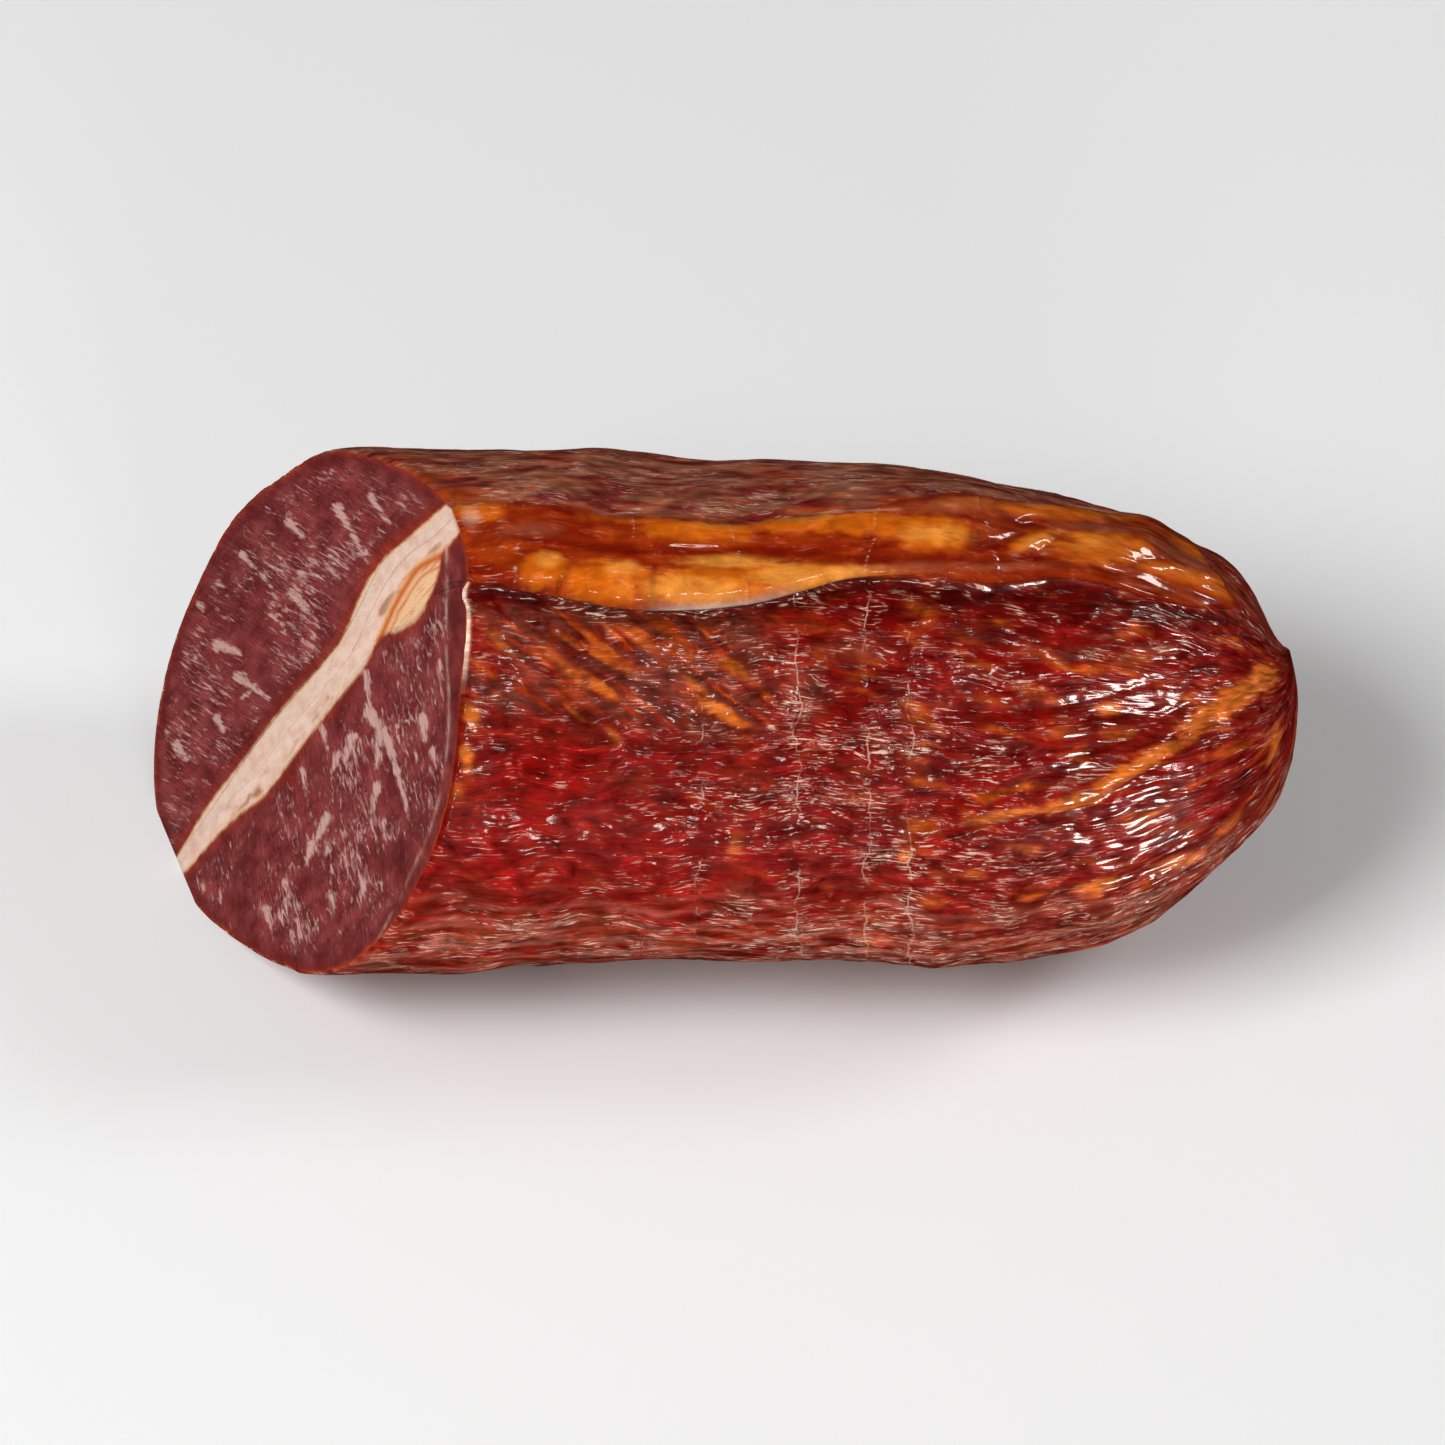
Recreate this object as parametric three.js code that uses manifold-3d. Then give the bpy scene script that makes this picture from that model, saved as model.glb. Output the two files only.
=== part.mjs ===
// A half piece of cured black pork loin: two loins laid fat to fat, pressed round in a thin casing,
// dried, and cut across on a slant. It has three bodies: the front loin, the back loin and the layer
// of fat between them, which shows on the cut as a white band and along the top as an amber strip.
// Millimetres, +Z up. X runs from the cut face at -X to the gathered end at +X, -Y is the front.
// The piece lies on its flattened underside; the origin is under the middle of its bounding box.

import * as THREE from "three";
import { mergeVertices } from "three/addons/utils/BufferGeometryUtils.js";
import Module from "manifold-3d";

// Driving dimensions. An angle round the piece is 0 at the front and 90 on top.
const MEAN_RADIUS = 41.6;
const AXIS_HEIGHT = 41.4; // the lowest lobe reaches deeper, so z = 0 cuts a flat to rest on
const TIP_X = 92.0;
const DOME_LENGTH = 72.0;
const DOME_POWER = 2.5;
const MIDDLE_SHRINK = 0.038; // the loin is a little thicker at the cut than at its middle
const SHRINK_LENGTH = 59.0;
const UNDERSIDE_FILL = { angle: 262, width: 25, height: 1.6 }; // the underside keeps its depth

// The section is the mean radius with broad lobes: [angle, width, height].
const LOBES = [
  [50, 36, -6.2], // flattened front
  [150, 16, 1.1], // shoulder of the back loin
  [250, 24, 2.2], // heavy lower back
  [292, 16, -1.0], // hollow under the front loin
  [334, 18, 1.1], // lower front
];

// Local swellings: [x, width, angle, width, height].
const SWELLINGS = [
  [81.5, 7, 140, 36, 2.7], // shoulder behind the gathered end
  [89.5, 2.6, 140, 50, -2.2], // dip between it and the knot
];

// The slanted cut: its x at the axis, and how far it leans for each millimetre up and back.
const CUT_X = -63.9;
const CUT_LEAN_UP = 0.572;
const CUT_LEAN_BACK = -0.35;

// Edges of the fat strip along the top: [x, angle]. The front edge is a crease under a lip.
const STRIP_FRONT = [
  [-42, 81], [-27, 79.5], [-12, 75.8], [4, 78.3], [20, 84], [41, 85.5],
  [55, 90.5], [68, 90.5], [76, 94], [81, 99], [84, 102], [92, 100],
];
const STRIP_BACK = [
  [-42, 99.5], [-26, 99.4], [-13, 97.4], [3, 96.8], [21, 101], [37, 109],
  [47, 114], [58, 122], [68, 133], [73, 135], [78, 121], [81, 107], [84, 103], [92, 101],
];
const FAT_END_X = 81.0;
const FAT_CLOSING = 6.0; // the two loins come together over this length, midway at the end
const LIP_HEIGHT = 1.1;
const RIDGE_RISE = 0.9;
const RIDGE_FADE = 13; // degrees over which the ridge melts into the back loin
const CREASE_DEPTH = 0.9;
const CREASE_WIDTH = 2.5;

// The layer of fat at the cut: how far its front and back faces lie behind the axis.
const FAT_FRONT_Y = -0.2;
const FAT_FRONT_BELLY = [-0.35, 0.35, -1.9]; // [share of the radius up, width, millimetres]
const FAT_TONGUE = [0.66, 0.14, -2.4];
const FAT_BACK_Y = 3.4;
const FAT_BACK_WIDEN = 2.8;
const FAT_BACK_BULGE = [0.62, 0.25, 4.3];
const FLARE = 0.3; // share of the radius over which the layer spreads out to the strip
const NODE_GAP = 0.3;
const CENTRING = [0.49, -0.57, 0]; // puts the origin under the middle of the bounding box

// The gathered end: its axis sags, then rises to the knot of the casing, and its rings tilt.
const SAG = { y: -1.84, z: -1.54, start: 15, run: 35 };
const KNOT = { y: 7.2, z: 6.0, power: 3.2 };
const RING_TILT = { y: 0.19, z: 0.16, power: 2.5 };
const PUCKER = { depth: 1.1, power: 8 };

// Low waves that drying leaves: [height, angle count, x wavelength, phase].
const WAVES = [
  [0.42, 2, 61, 1.0],
  [0.3, -3, 34, 0.5],
  [0.24, 5, 88, 2.2],
  [0.2, -4, 23, 4.0],
];
const FURROWS = [
  [0.55, 9, 0.4],
  [0.35, 15, 1.9],
];

// Mesh density. Ring angles are offsets from the strip's front edge, shares of the way over the
// strip, and even steps round the rest.
const LIP_ANGLES = [-9, -6, -3.4, -1];
const STRIP_SHARES = [0.05, 0.25, 0.5, 0.75, 1];
const REST_STEPS = 60;
const REST_START = 6;
const STRIP_LEAST = 8; // degrees
const BODY_RINGS = 19;
const DOME_RINGS = 19;
const SHEET_START_X = -104;
const SHEET_STEPS = 25;
const SHEET_TAIL = [1.5, 3, 9, 17]; // past the end of the fat
const SHEET_ROWS = [-1.4, -0.9, -0.55, -0.2, 0.15, 0.42, 0.56, 0.68, 0.78, 0.87, 0.95, 1.02, 1.4];

const clamp = (t, low, high) => Math.min(high, Math.max(low, t));
const smooth = (t) => {
  const c = clamp(t, 0, 1);
  return c * c * (3 - 2 * c);
};
const bell = (t) => Math.exp(-t * t);
const radians = (angle) => (angle * Math.PI) / 180;
const mix = (a, b, t) => a + (b - a) * t;

// The shortest way round from one angle to another, in degrees.
function turn(angle, from) {
  return ((((angle - from + 180) % 360) + 360) % 360) - 180;
}

// A smooth curve through [x, value] points.
function along(points, x) {
  const last = points.length - 1;
  if (x <= points[0][0]) return points[0][1];
  if (x >= points[last][0]) return points[last][1];
  const i = points.findIndex((p, n) => n < last && x < points[n + 1][0]);
  const slope = (n) => {
    const a = points[Math.max(0, n - 1)];
    const b = points[Math.min(last, n + 1)];
    return (b[1] - a[1]) / (b[0] - a[0]);
  };
  const [x0, y0] = points[i];
  const [x1, y1] = points[i + 1];
  const span = x1 - x0;
  const t = (x - x0) / span;
  const hump = t * (1 - t);
  return mix(y0, y1, t * t * (3 - 2 * t))
    + hump * (1 - t) * slope(i) * span
    - hump * t * slope(i + 1) * span;
}

// Share of the full radius left at x, from 1 on the body to 0 at the tip.
function domeShare(x) {
  const t = clamp((x - TIP_X + DOME_LENGTH) / DOME_LENGTH, 0, 1);
  return Math.sqrt(1 - t ** DOME_POWER);
}

function domeX(share) {
  return TIP_X - DOME_LENGTH + DOME_LENGTH * (1 - share * share) ** (1 / DOME_POWER);
}

function bodyShare(x) {
  return 1 - MIDDLE_SHRINK * smooth((x + SHRINK_LENGTH) / SHRINK_LENGTH);
}

function sectionRadius(angle) {
  return LOBES.reduce(
    (sum, [at, width, height]) => sum + height * bell(turn(angle, at) / width),
    MEAN_RADIUS,
  );
}

// The raised strip of fat and the crease in front of it.
function ridge(x, angle) {
  const front = along(STRIP_FRONT, x);
  const back = along(STRIP_BACK, x);
  const above = turn(angle, front);
  const beyond = turn(angle, back);
  const step = smooth(above / 2 + 0.5);
  const rise = LIP_HEIGHT + RIDGE_RISE * clamp(above / Math.max(4, back - front), 0, 1);
  const fall = beyond > 0 ? bell(beyond / RIDGE_FADE) : 1;
  const crease = CREASE_DEPTH * bell((above + CREASE_WIDTH) / CREASE_WIDTH);
  const fade = smooth((TIP_X - 2 - x) / 12) * (1 - 0.5 * smooth((x - 40) / 30));
  return (step * rise * fall - crease) * fade;
}

function waves(x, angle, share) {
  const low = WAVES.reduce(
    (sum, [height, count, length, phase]) =>
      sum + height * Math.sin((2 * Math.PI * x) / length + count * radians(angle) + phase),
    0,
  );
  const folds = FURROWS.reduce(
    (sum, [height, count, phase]) => sum + height * Math.sin(count * radians(angle) + phase + x / 30),
    0,
  );
  return low * share + folds * share * smooth((x - 40) / 30);
}

function radiusAt(x, angle, share) {
  const fill = UNDERSIDE_FILL.height * smooth((x + SHRINK_LENGTH) / SHRINK_LENGTH)
    * bell(turn(angle, UNDERSIDE_FILL.angle) / UNDERSIDE_FILL.width);
  const plain = sectionRadius(angle) * bodyShare(x) + fill;
  const local = SWELLINGS.reduce(
    (sum, [at, run, facing, width, height]) =>
      sum + height * bell((x - at) / run) * bell(turn(angle, facing) / width) * smooth(share / 0.2),
    0,
  );
  const relief = ridge(x, angle) * Math.sqrt(share) + waves(x, angle, share) + local;
  return Math.max(0, plain * share + relief);
}

// Where the axis runs, relative to the straight line at AXIS_HEIGHT.
function axisAt(x, share) {
  const sag = smooth((x - SAG.start) / SAG.run);
  const rise = (1 - share) ** KNOT.power;
  return { y: mix(SAG.y * sag, KNOT.y, rise), z: mix(SAG.z * sag, KNOT.z, rise) };
}

// A point of the outer skin, with z measured from the straight axis line.
function skinPoint(x, angle, share = domeShare(x)) {
  const r = radiusAt(x, angle, share);
  const axis = axisAt(x, share);
  const across = -r * Math.cos(radians(angle));
  const up = r * Math.sin(radians(angle));
  const tilt = (1 - share) ** RING_TILT.power * (RING_TILT.y * across + RING_TILT.z * up);
  const dent = PUCKER.depth * (1 - share) ** PUCKER.power;
  return new THREE.Vector3(x - tilt - dent, axis.y + across, axis.z + up);
}

function cutX(point) {
  return CUT_X + CUT_LEAN_UP * point.z + CUT_LEAN_BACK * point.y;
}

// Angles round the ring at x, with mesh lines that keep to both edges of the strip.
function ringAngles(x) {
  const front = along(STRIP_FRONT, x);
  const back = Math.max(along(STRIP_BACK, x), front + STRIP_LEAST);
  const start = back + REST_START;
  const end = front + LIP_ANGLES[0] + 360;
  const rest = Array.from({ length: REST_STEPS }, (_, i) => mix(start, end, i / REST_STEPS));
  return [
    ...LIP_ANGLES.map((offset) => front + offset),
    ...STRIP_SHARES.map((share) => mix(front, back, share)),
    ...rest,
  ];
}

// The x at which line j along the skin meets the cut.
function cutEdgeX(j) {
  let x = CUT_X;
  for (let pass = 0; pass < 12; pass++) x = cutX(skinPoint(x, ringAngles(x)[j]));
  return x;
}

// Turns points and triangles into a solid for joining and cutting.
function solid(wasm, points, triangles) {
  return new wasm.Manifold(new wasm.Mesh({
    numProp: 3,
    vertProperties: new Float32Array(points.flatMap((p) => [p.x, p.y, p.z])),
    triVerts: new Uint32Array(triangles),
  }));
}

// The whole piece as one closed skin: the cut face, rings along the body and over the end, the tip.
function wholePiece(wasm) {
  const join = TIP_X - DOME_LENGTH;
  const count = ringAngles(join).length;
  const starts = Array.from({ length: count }, (_, j) => cutEdgeX(j));
  const rings = [];
  for (let i = 0; i < BODY_RINGS; i++) {
    rings.push(starts.map((start, j) => {
      const x = mix(start, join, i / BODY_RINGS);
      return skinPoint(x, ringAngles(x)[j]);
    }));
  }
  for (let i = 0; i < DOME_RINGS; i++) {
    const share = Math.cos((i / DOME_RINGS) * (Math.PI / 2));
    const x = domeX(share);
    rings.push(ringAngles(x).map((a) => skinPoint(x, a, share)));
  }
  const points = rings.flat();
  const triangles = [];
  for (let i = 0; i + 1 < rings.length; i++) {
    for (let j = 0; j < count; j++) {
      const k = (j + 1) % count;
      const [a, b, c, d] = [i * count + j, i * count + k, (i + 1) * count + k, (i + 1) * count + j];
      triangles.push(a, d, b, b, d, c);
    }
  }
  const face = points.push(new THREE.Vector3(CUT_X, 0, 0)) - 1;
  const tip = points.push(skinPoint(TIP_X, 0, 0)) - 1;
  const lastRing = (rings.length - 1) * count;
  for (let j = 0; j < count; j++) {
    const k = (j + 1) % count;
    triangles.push(face, j, k);
    triangles.push(tip, lastRing + k, lastRing + j);
  }
  points.forEach((p) => { p.z += AXIS_HEIGHT; });
  return solid(wasm, points, triangles);
}

// How far behind the axis a face of the fat layer lies, where up is a share of the radius.
function fatFace(x, up, side) {
  const share = domeShare(x);
  const size = Math.max(0.12, bodyShare(x) * share);
  const hump = ([at, width, height]) => height * bell((up - at) / width);
  const front = FAT_FRONT_Y + hump(FAT_FRONT_BELLY) + hump(FAT_TONGUE);
  const back = FAT_BACK_Y + FAT_BACK_WIDEN * smooth((up + 1) / 0.8) + hump(FAT_BACK_BULGE);
  const closing = smooth((FAT_END_X - x) / FAT_CLOSING + 0.5);
  const middle = (front + back) / 2;
  const own = side === "front" ? front : back;
  const inner = mix(middle, own, closing) * size;
  const edge = along(side === "front" ? STRIP_FRONT : STRIP_BACK, x);
  const edgeUp = Math.sin(radians(edge));
  const edgeY = -radiusAt(x, edge, share) * Math.cos(radians(edge));
  const flare = smooth((up - edgeUp + FLARE) / FLARE);
  return axisAt(x, share).y + mix(inner, edgeY, flare);
}

// A solid between two surfaces y(x, up), which stands well above and below the piece.
function slab(wasm, stations, nearY, farY) {
  const points = stations.flatMap((x) => {
    const share = domeShare(x);
    const height = Math.max(8, MEAN_RADIUS * bodyShare(x) * share);
    return SHEET_ROWS.flatMap((up) => {
      const z = AXIS_HEIGHT + axisAt(x, share).z + up * height;
      return [new THREE.Vector3(x, nearY(x, up), z), new THREE.Vector3(x, farY(x, up), z)];
    });
  });
  const end = stations.length - 1;
  const top = SHEET_ROWS.length - 1;
  const at = (i, j, far) => 2 * (i * SHEET_ROWS.length + j) + far;
  const triangles = [];
  const quad = (a, b, c, d) => triangles.push(a, b, c, a, c, d);
  for (let i = 0; i < end; i++) {
    for (let j = 0; j < top; j++) {
      quad(at(i, j, 0), at(i + 1, j, 0), at(i + 1, j + 1, 0), at(i, j + 1, 0));
      quad(at(i, j, 1), at(i, j + 1, 1), at(i + 1, j + 1, 1), at(i + 1, j, 1));
    }
    quad(at(i, 0, 0), at(i, 0, 1), at(i + 1, 0, 1), at(i + 1, 0, 0));
    quad(at(i, top, 0), at(i + 1, top, 0), at(i + 1, top, 1), at(i, top, 1));
  }
  for (let j = 0; j < top; j++) {
    quad(at(0, j, 0), at(0, j + 1, 0), at(0, j + 1, 1), at(0, j, 1));
    quad(at(end, j, 0), at(end, j, 1), at(end, j + 1, 1), at(end, j + 1, 0));
  }
  return solid(wasm, points, triangles);
}

function meshOf(name, body, colour, roughness) {
  const { vertProperties, triVerts } = body.getMesh();
  const raw = new THREE.BufferGeometry();
  raw.setAttribute("position", new THREE.BufferAttribute(new Float32Array(vertProperties), 3));
  raw.setIndex(new THREE.BufferAttribute(new Uint32Array(triVerts), 1));
  const geometry = mergeVertices(raw, 1e-4);
  geometry.computeVertexNormals();
  const mesh = new THREE.Mesh(
    geometry,
    new THREE.MeshStandardMaterial({ color: colour, roughness, metalness: 0 }),
  );
  mesh.name = name;
  return mesh;
}

const wasm = await Module();
wasm.setup();

const FAR_Y = 90;
const half = NODE_GAP / 2;
const floorBlock = mergeVertices(
  new THREE.BoxGeometry(400, 400, 100).deleteAttribute("normal").deleteAttribute("uv"),
);
floorBlock.translate(0, 0, -50);
const floor = new wasm.Manifold(new wasm.Mesh({
  numProp: 3,
  vertProperties: floorBlock.attributes.position.array,
  triVerts: new Uint32Array(floorBlock.index.array),
}));
const piece = wholePiece(wasm).subtract(floor);

const frontFace = (x, up) => fatFace(x, up, "front");
const backFace = (x, up) => fatFace(x, up, "back");
const fatStations = Array.from(
  { length: SHEET_STEPS + 1 },
  (_, i) => mix(SHEET_START_X, FAT_END_X, i / SHEET_STEPS),
);
const stations = fatStations.concat(SHEET_TAIL.map((past) => FAT_END_X + past));
const fatSlab = slab(
  wasm,
  fatStations,
  (x, up) => frontFace(x, up) + half,
  (x, up) => backFace(x, up) - half,
);
const frontSlab = slab(wasm, stations, () => -FAR_Y, (x, up) => frontFace(x, up) - half);
const backSlab = slab(wasm, stations, (x, up) => backFace(x, up) + half, () => FAR_Y);

const loin = new THREE.Group();
loin.position.set(...CENTRING);
loin.add(
  meshOf("front_loin", piece.intersect(frontSlab), 0x84241d, 0.35),
  meshOf("fat_layer", piece.intersect(fatSlab), 0xd9a066, 0.3),
  meshOf("back_loin", piece.intersect(backSlab), 0x6e3a33, 0.45),
);

export default loin;
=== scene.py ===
"""The look of a half piece of cured pork loin, on the frame that the solids give.

Each of the three solids is replaced by a finer closed mesh of the same form, with the wrinkles of
the dried casing as real relief. Colours are painted point by point by formula, and the materials
add what is finer than the mesh. Lengths are in millimetres until the meshes are made, and heights
are counted from the axis of the piece. An angle round the piece is 0 at the front and 90 on top.
"""

import math

import bpy
import numpy as np
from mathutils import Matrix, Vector


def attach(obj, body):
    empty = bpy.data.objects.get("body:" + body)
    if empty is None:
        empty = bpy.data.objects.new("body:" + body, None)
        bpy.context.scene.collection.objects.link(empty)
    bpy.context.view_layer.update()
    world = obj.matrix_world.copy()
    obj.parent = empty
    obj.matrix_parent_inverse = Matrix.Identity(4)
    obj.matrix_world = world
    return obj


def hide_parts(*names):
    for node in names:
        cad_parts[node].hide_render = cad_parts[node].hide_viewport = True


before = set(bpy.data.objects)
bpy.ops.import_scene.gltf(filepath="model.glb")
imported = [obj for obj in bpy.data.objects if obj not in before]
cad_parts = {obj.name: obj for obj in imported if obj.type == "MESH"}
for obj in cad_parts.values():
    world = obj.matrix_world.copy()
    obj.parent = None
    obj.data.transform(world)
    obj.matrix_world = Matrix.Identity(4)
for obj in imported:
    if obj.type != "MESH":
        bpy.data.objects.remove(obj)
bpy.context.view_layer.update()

MM = 0.001

# The form, as in the solids.
MEAN_RADIUS = 41.6
AXIS = (0.49, -0.57, 41.4)  # the axis line in the frame, at x = 0
TIP_X = 92.0
DOME_LENGTH = 72.0
JOIN_X = TIP_X - DOME_LENGTH
DOME_POWER = 2.5
MIDDLE_SHRINK = 0.038
SHRINK_LENGTH = 59.0
FILL_ANGLE, FILL_WIDTH, FILL_HEIGHT = 262, 25, 1.6
LOBES = [(50, 36, -6.2), (150, 16, 1.1), (250, 24, 2.2), (292, 16, -1.0), (334, 18, 1.1)]
SWELLINGS = [(81.5, 7, 140, 36, 2.7), (89.5, 2.6, 140, 50, -2.2)]
CUT_X, CUT_LEAN_UP, CUT_LEAN_BACK = -63.9, 0.572, -0.35
STRIP_FRONT = [
    (-42, 81), (-27, 79.5), (-12, 75.8), (4, 78.3), (20, 84), (41, 85.5),
    (55, 90.5), (68, 90.5), (76, 94), (81, 99), (84, 102), (92, 100),
]  # fmt: skip
STRIP_BACK = [
    (-42, 99.5), (-26, 99.4), (-13, 97.4), (3, 96.8), (21, 101), (37, 109), (47, 114),
    (58, 122), (68, 133), (73, 135), (78, 121), (81, 107), (84, 102), (92, 100),
]  # fmt: skip
FAT_END_X = 81.0
FAT_CLOSING = 6.0
LIP_HEIGHT, RIDGE_RISE, RIDGE_FADE = 1.1, 0.9, 13
CREASE_DEPTH, CREASE_WIDTH = 0.9, 2.5
FAT_FRONT_Y, FAT_FRONT_BELLY, FAT_TONGUE = -0.2, (-0.35, 0.35, -1.9), (0.66, 0.14, -2.4)
FAT_BACK_Y, FAT_BACK_WIDEN, FAT_BACK_BULGE = 3.4, 2.8, (0.62, 0.25, 4.3)
FLARE = 0.3
SAG_Y, SAG_Z, SAG_START, SAG_RUN = -1.84, -1.54, 15, 35
KNOT_Y, KNOT_Z, KNOT_POWER = 7.2, 6.0, 3.2
TILT_Y, TILT_Z, TILT_POWER = 0.19, 0.16, 2.5
PUCKER_DEPTH, PUCKER_POWER = 1.1, 8
WAVES = [(0.42, 2, 61, 1.0), (0.3, -3, 34, 0.5), (0.24, 5, 88, 2.2), (0.2, -4, 23, 4.0)]
FURROWS = [(0.55, 9, 0.4), (0.35, 15, 1.9)]

# The camera: it looks down at the piece, square to its length.
ELEVATION = 50.0
CAMERA_DISTANCE = 2000.0
MM_PER_PIXEL = 0.16
FRAME_PIXELS = 1445
SENSOR = 36.0
AIM_X, AIM_UP = 0.16, -2.2  # from the axis, along the image

# Mesh density.
BODY_ROWS = 150
DOME_ROWS = 168
SIDE_COLUMNS = 216
STRIP_FINENESS = 2  # rows of the strip for each row of the sides
STRIP_COLUMNS = 76
FACE_COLUMNS = 84
SEAM_POINTS = SIDE_COLUMNS + 1
WALL_RINGS = (0.0, 0.06, 0.2, 0.45, 0.75, 1.0)
END_POINTS = 40
NORMAL_STEP = 0.25
DOME_SAMPLES = 4000
SEAM_SAMPLES = 600
EDGE_PASSES, SEAM_PASSES = 14, 20
WELD = 0.002
BAND_LENGTH = 80
FAT_TIP_X = 84.0

# The lip of the fat: how far it hangs over the crease, and how round its edge is.
LIP_HANG = [(-42, 1.15), (4, 1.15), (28, 0.3), (60, 0.3), (84, 0.8)]
LIP_ROUND, LIP_REACH = 0.5, 4.5
RIM_ROUND, RIM_WIDTH = 0.5, 0.9

PICTURE_MIDDLE = (721.5, 709)  # the axis at x = 0, in pixels of the picture
LOOK_UP = np.array([math.sin(math.radians(ELEVATION)), math.cos(math.radians(ELEVATION))])


# Small functions that work on arrays.


def smooth(t):
    t = np.clip(t, 0, 1)
    return t * t * (3 - 2 * t)


def bell(t):
    return np.exp(-t * t)


def mix(a, b, t):
    return a + (b - a) * t


def turn(angle, origin):
    return (angle - origin + 180) % 360 - 180


def along(points, x):
    """A smooth curve through (x, value) points."""
    xs, ys = np.array(points, float).T
    slopes = np.empty_like(ys)
    slopes[1:-1] = (ys[2:] - ys[:-2]) / (xs[2:] - xs[:-2])
    slopes[0] = (ys[1] - ys[0]) / (xs[1] - xs[0])
    slopes[-1] = (ys[-1] - ys[-2]) / (xs[-1] - xs[-2])
    x = np.clip(x, xs[0], xs[-1])
    i = np.clip(np.searchsorted(xs, x, side="right") - 1, 0, len(xs) - 2)
    span = xs[i + 1] - xs[i]
    t = (x - xs[i]) / span
    hump = t * (1 - t)
    line = mix(ys[i], ys[i + 1], t * t * (3 - 2 * t))
    return line + hump * ((1 - t) * slopes[i] - t * slopes[i + 1]) * span


def noise(u, v, seed=0):
    """Smooth noise from about -1 to 1 over a plane, with features one unit wide."""
    iu, iv = np.floor(u).astype(np.int64), np.floor(v).astype(np.int64)
    fu, fv = u - iu, v - iv

    def corner(du, dv):
        h = ((iu + du) * 73856093) ^ ((iv + dv) * 19349663) ^ (seed * 83492791 + 12345)
        h = (h & 0x7FFFFFFF) * 1103515245 + 12345
        h = ((h >> 7) ^ h) * 1274126177
        angle = ((h >> 9) & 0xFFFF) * (2 * math.pi / 65536)
        return np.cos(angle) * (fu - du) + np.sin(angle) * (fv - dv)

    su, sv = (f * f * f * (f * (f * 6 - 15) + 10) for f in (fu, fv))
    low = mix(corner(0, 0), corner(1, 0), su)
    high = mix(corner(0, 1), corner(1, 1), su)
    return 1.5 * mix(low, high, sv)


def layered(u, v, seed=0, layers=3):
    """Noise with finer and weaker layers on it."""
    total = sum(noise(u * 2**i, v * 2**i, seed + 17 * i) * 0.5**i for i in range(layers))
    return total / (2 - 0.5 ** (layers - 1))


def creases(u, v, seed=0):
    """1 along thin wandering lines, falling to 0 between them."""
    return np.clip(1 - 2.2 * np.abs(noise(u, v, seed)), 0, 1) ** 2


# The form of the whole piece.


def dome_share(x):
    t = np.clip((x - JOIN_X) / DOME_LENGTH, 0, 1)
    return np.sqrt(1 - t**DOME_POWER)


def dome_x(share):
    return JOIN_X + DOME_LENGTH * np.clip(1 - share * share, 0, 1) ** (1 / DOME_POWER)


def body_share(x):
    return 1 - MIDDLE_SHRINK * smooth((x + SHRINK_LENGTH) / SHRINK_LENGTH)


def strip_place(x, angle):
    """Degrees above the strip's front edge, degrees past its back edge, and its width."""
    front, back = along(STRIP_FRONT, x), along(STRIP_BACK, x)
    return turn(angle, front), turn(angle, back), back - front


def ridge_fade(x):
    return smooth((TIP_X - 2 - x) / 12) * (1 - 0.5 * smooth((x - 40) / 30))


def ridge(x, angle):
    above, beyond, width = strip_place(x, angle)
    step = smooth(above / 2 + 0.5)
    rise = LIP_HEIGHT + RIDGE_RISE * np.clip(above / np.maximum(4, width), 0, 1)
    fall = np.where(beyond > 0, bell(beyond / RIDGE_FADE), 1)
    crease = CREASE_DEPTH * bell((above + CREASE_WIDTH) / CREASE_WIDTH)
    return (step * rise * fall - crease) * ridge_fade(x)


def waves(x, angle, share):
    turns = np.radians(angle)
    low = sum(h * np.sin(2 * math.pi * x / w + n * turns + p) for h, n, w, p in WAVES)
    folds = sum(h * np.sin(n * turns + p + x / 30) for h, n, p in FURROWS)
    return (low + folds * smooth((x - 40) / 30)) * share


def radius_at(x, angle, share):
    section = MEAN_RADIUS + sum(h * bell(turn(angle, a) / w) for a, w, h in LOBES)
    fill = FILL_HEIGHT * smooth((x + SHRINK_LENGTH) / SHRINK_LENGTH)
    fill = fill * bell(turn(angle, FILL_ANGLE) / FILL_WIDTH)
    local = sum(
        h * bell((x - at) / run) * bell(turn(angle, a) / w) * smooth(share / 0.2)
        for at, run, a, w, h in SWELLINGS
    )
    relief = ridge(x, angle) * np.sqrt(share) + waves(x, angle, share) + local
    return np.maximum(0, (section * body_share(x) + fill) * share + relief)


def axis_at(x, share):
    sag = smooth((x - SAG_START) / SAG_RUN)
    rise = (1 - share) ** KNOT_POWER
    return mix(SAG_Y * sag, KNOT_Y, rise), mix(SAG_Z * sag, KNOT_Z, rise)


def skin_point(x, angle, share=None):
    """Points of the outer skin, as an array whose last axis is x, y, z."""
    share = dome_share(x) if share is None else share
    r = radius_at(x, angle, share)
    axis_y, axis_z = axis_at(x, share)
    across, up = -r * np.cos(np.radians(angle)), r * np.sin(np.radians(angle))
    tilt = (1 - share) ** TILT_POWER * (TILT_Y * across + TILT_Z * up)
    dent = PUCKER_DEPTH * (1 - share) ** PUCKER_POWER
    return np.stack([x - tilt - dent, axis_y + across, axis_z + up], -1)


def way_along_dome():
    """Shares of the radius over the gathered end, and how far along the skin each one is."""
    share = np.cos(np.linspace(0, math.pi / 2, DOME_SAMPLES))
    steps = np.hypot(np.diff(dome_x(share)), np.diff(share * MEAN_RADIUS))
    return share, np.concatenate([[0], np.cumsum(steps)])


DOME_SHARES, DOME_WAY = way_along_dome()
END_S = JOIN_X + DOME_WAY[-1]


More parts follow.
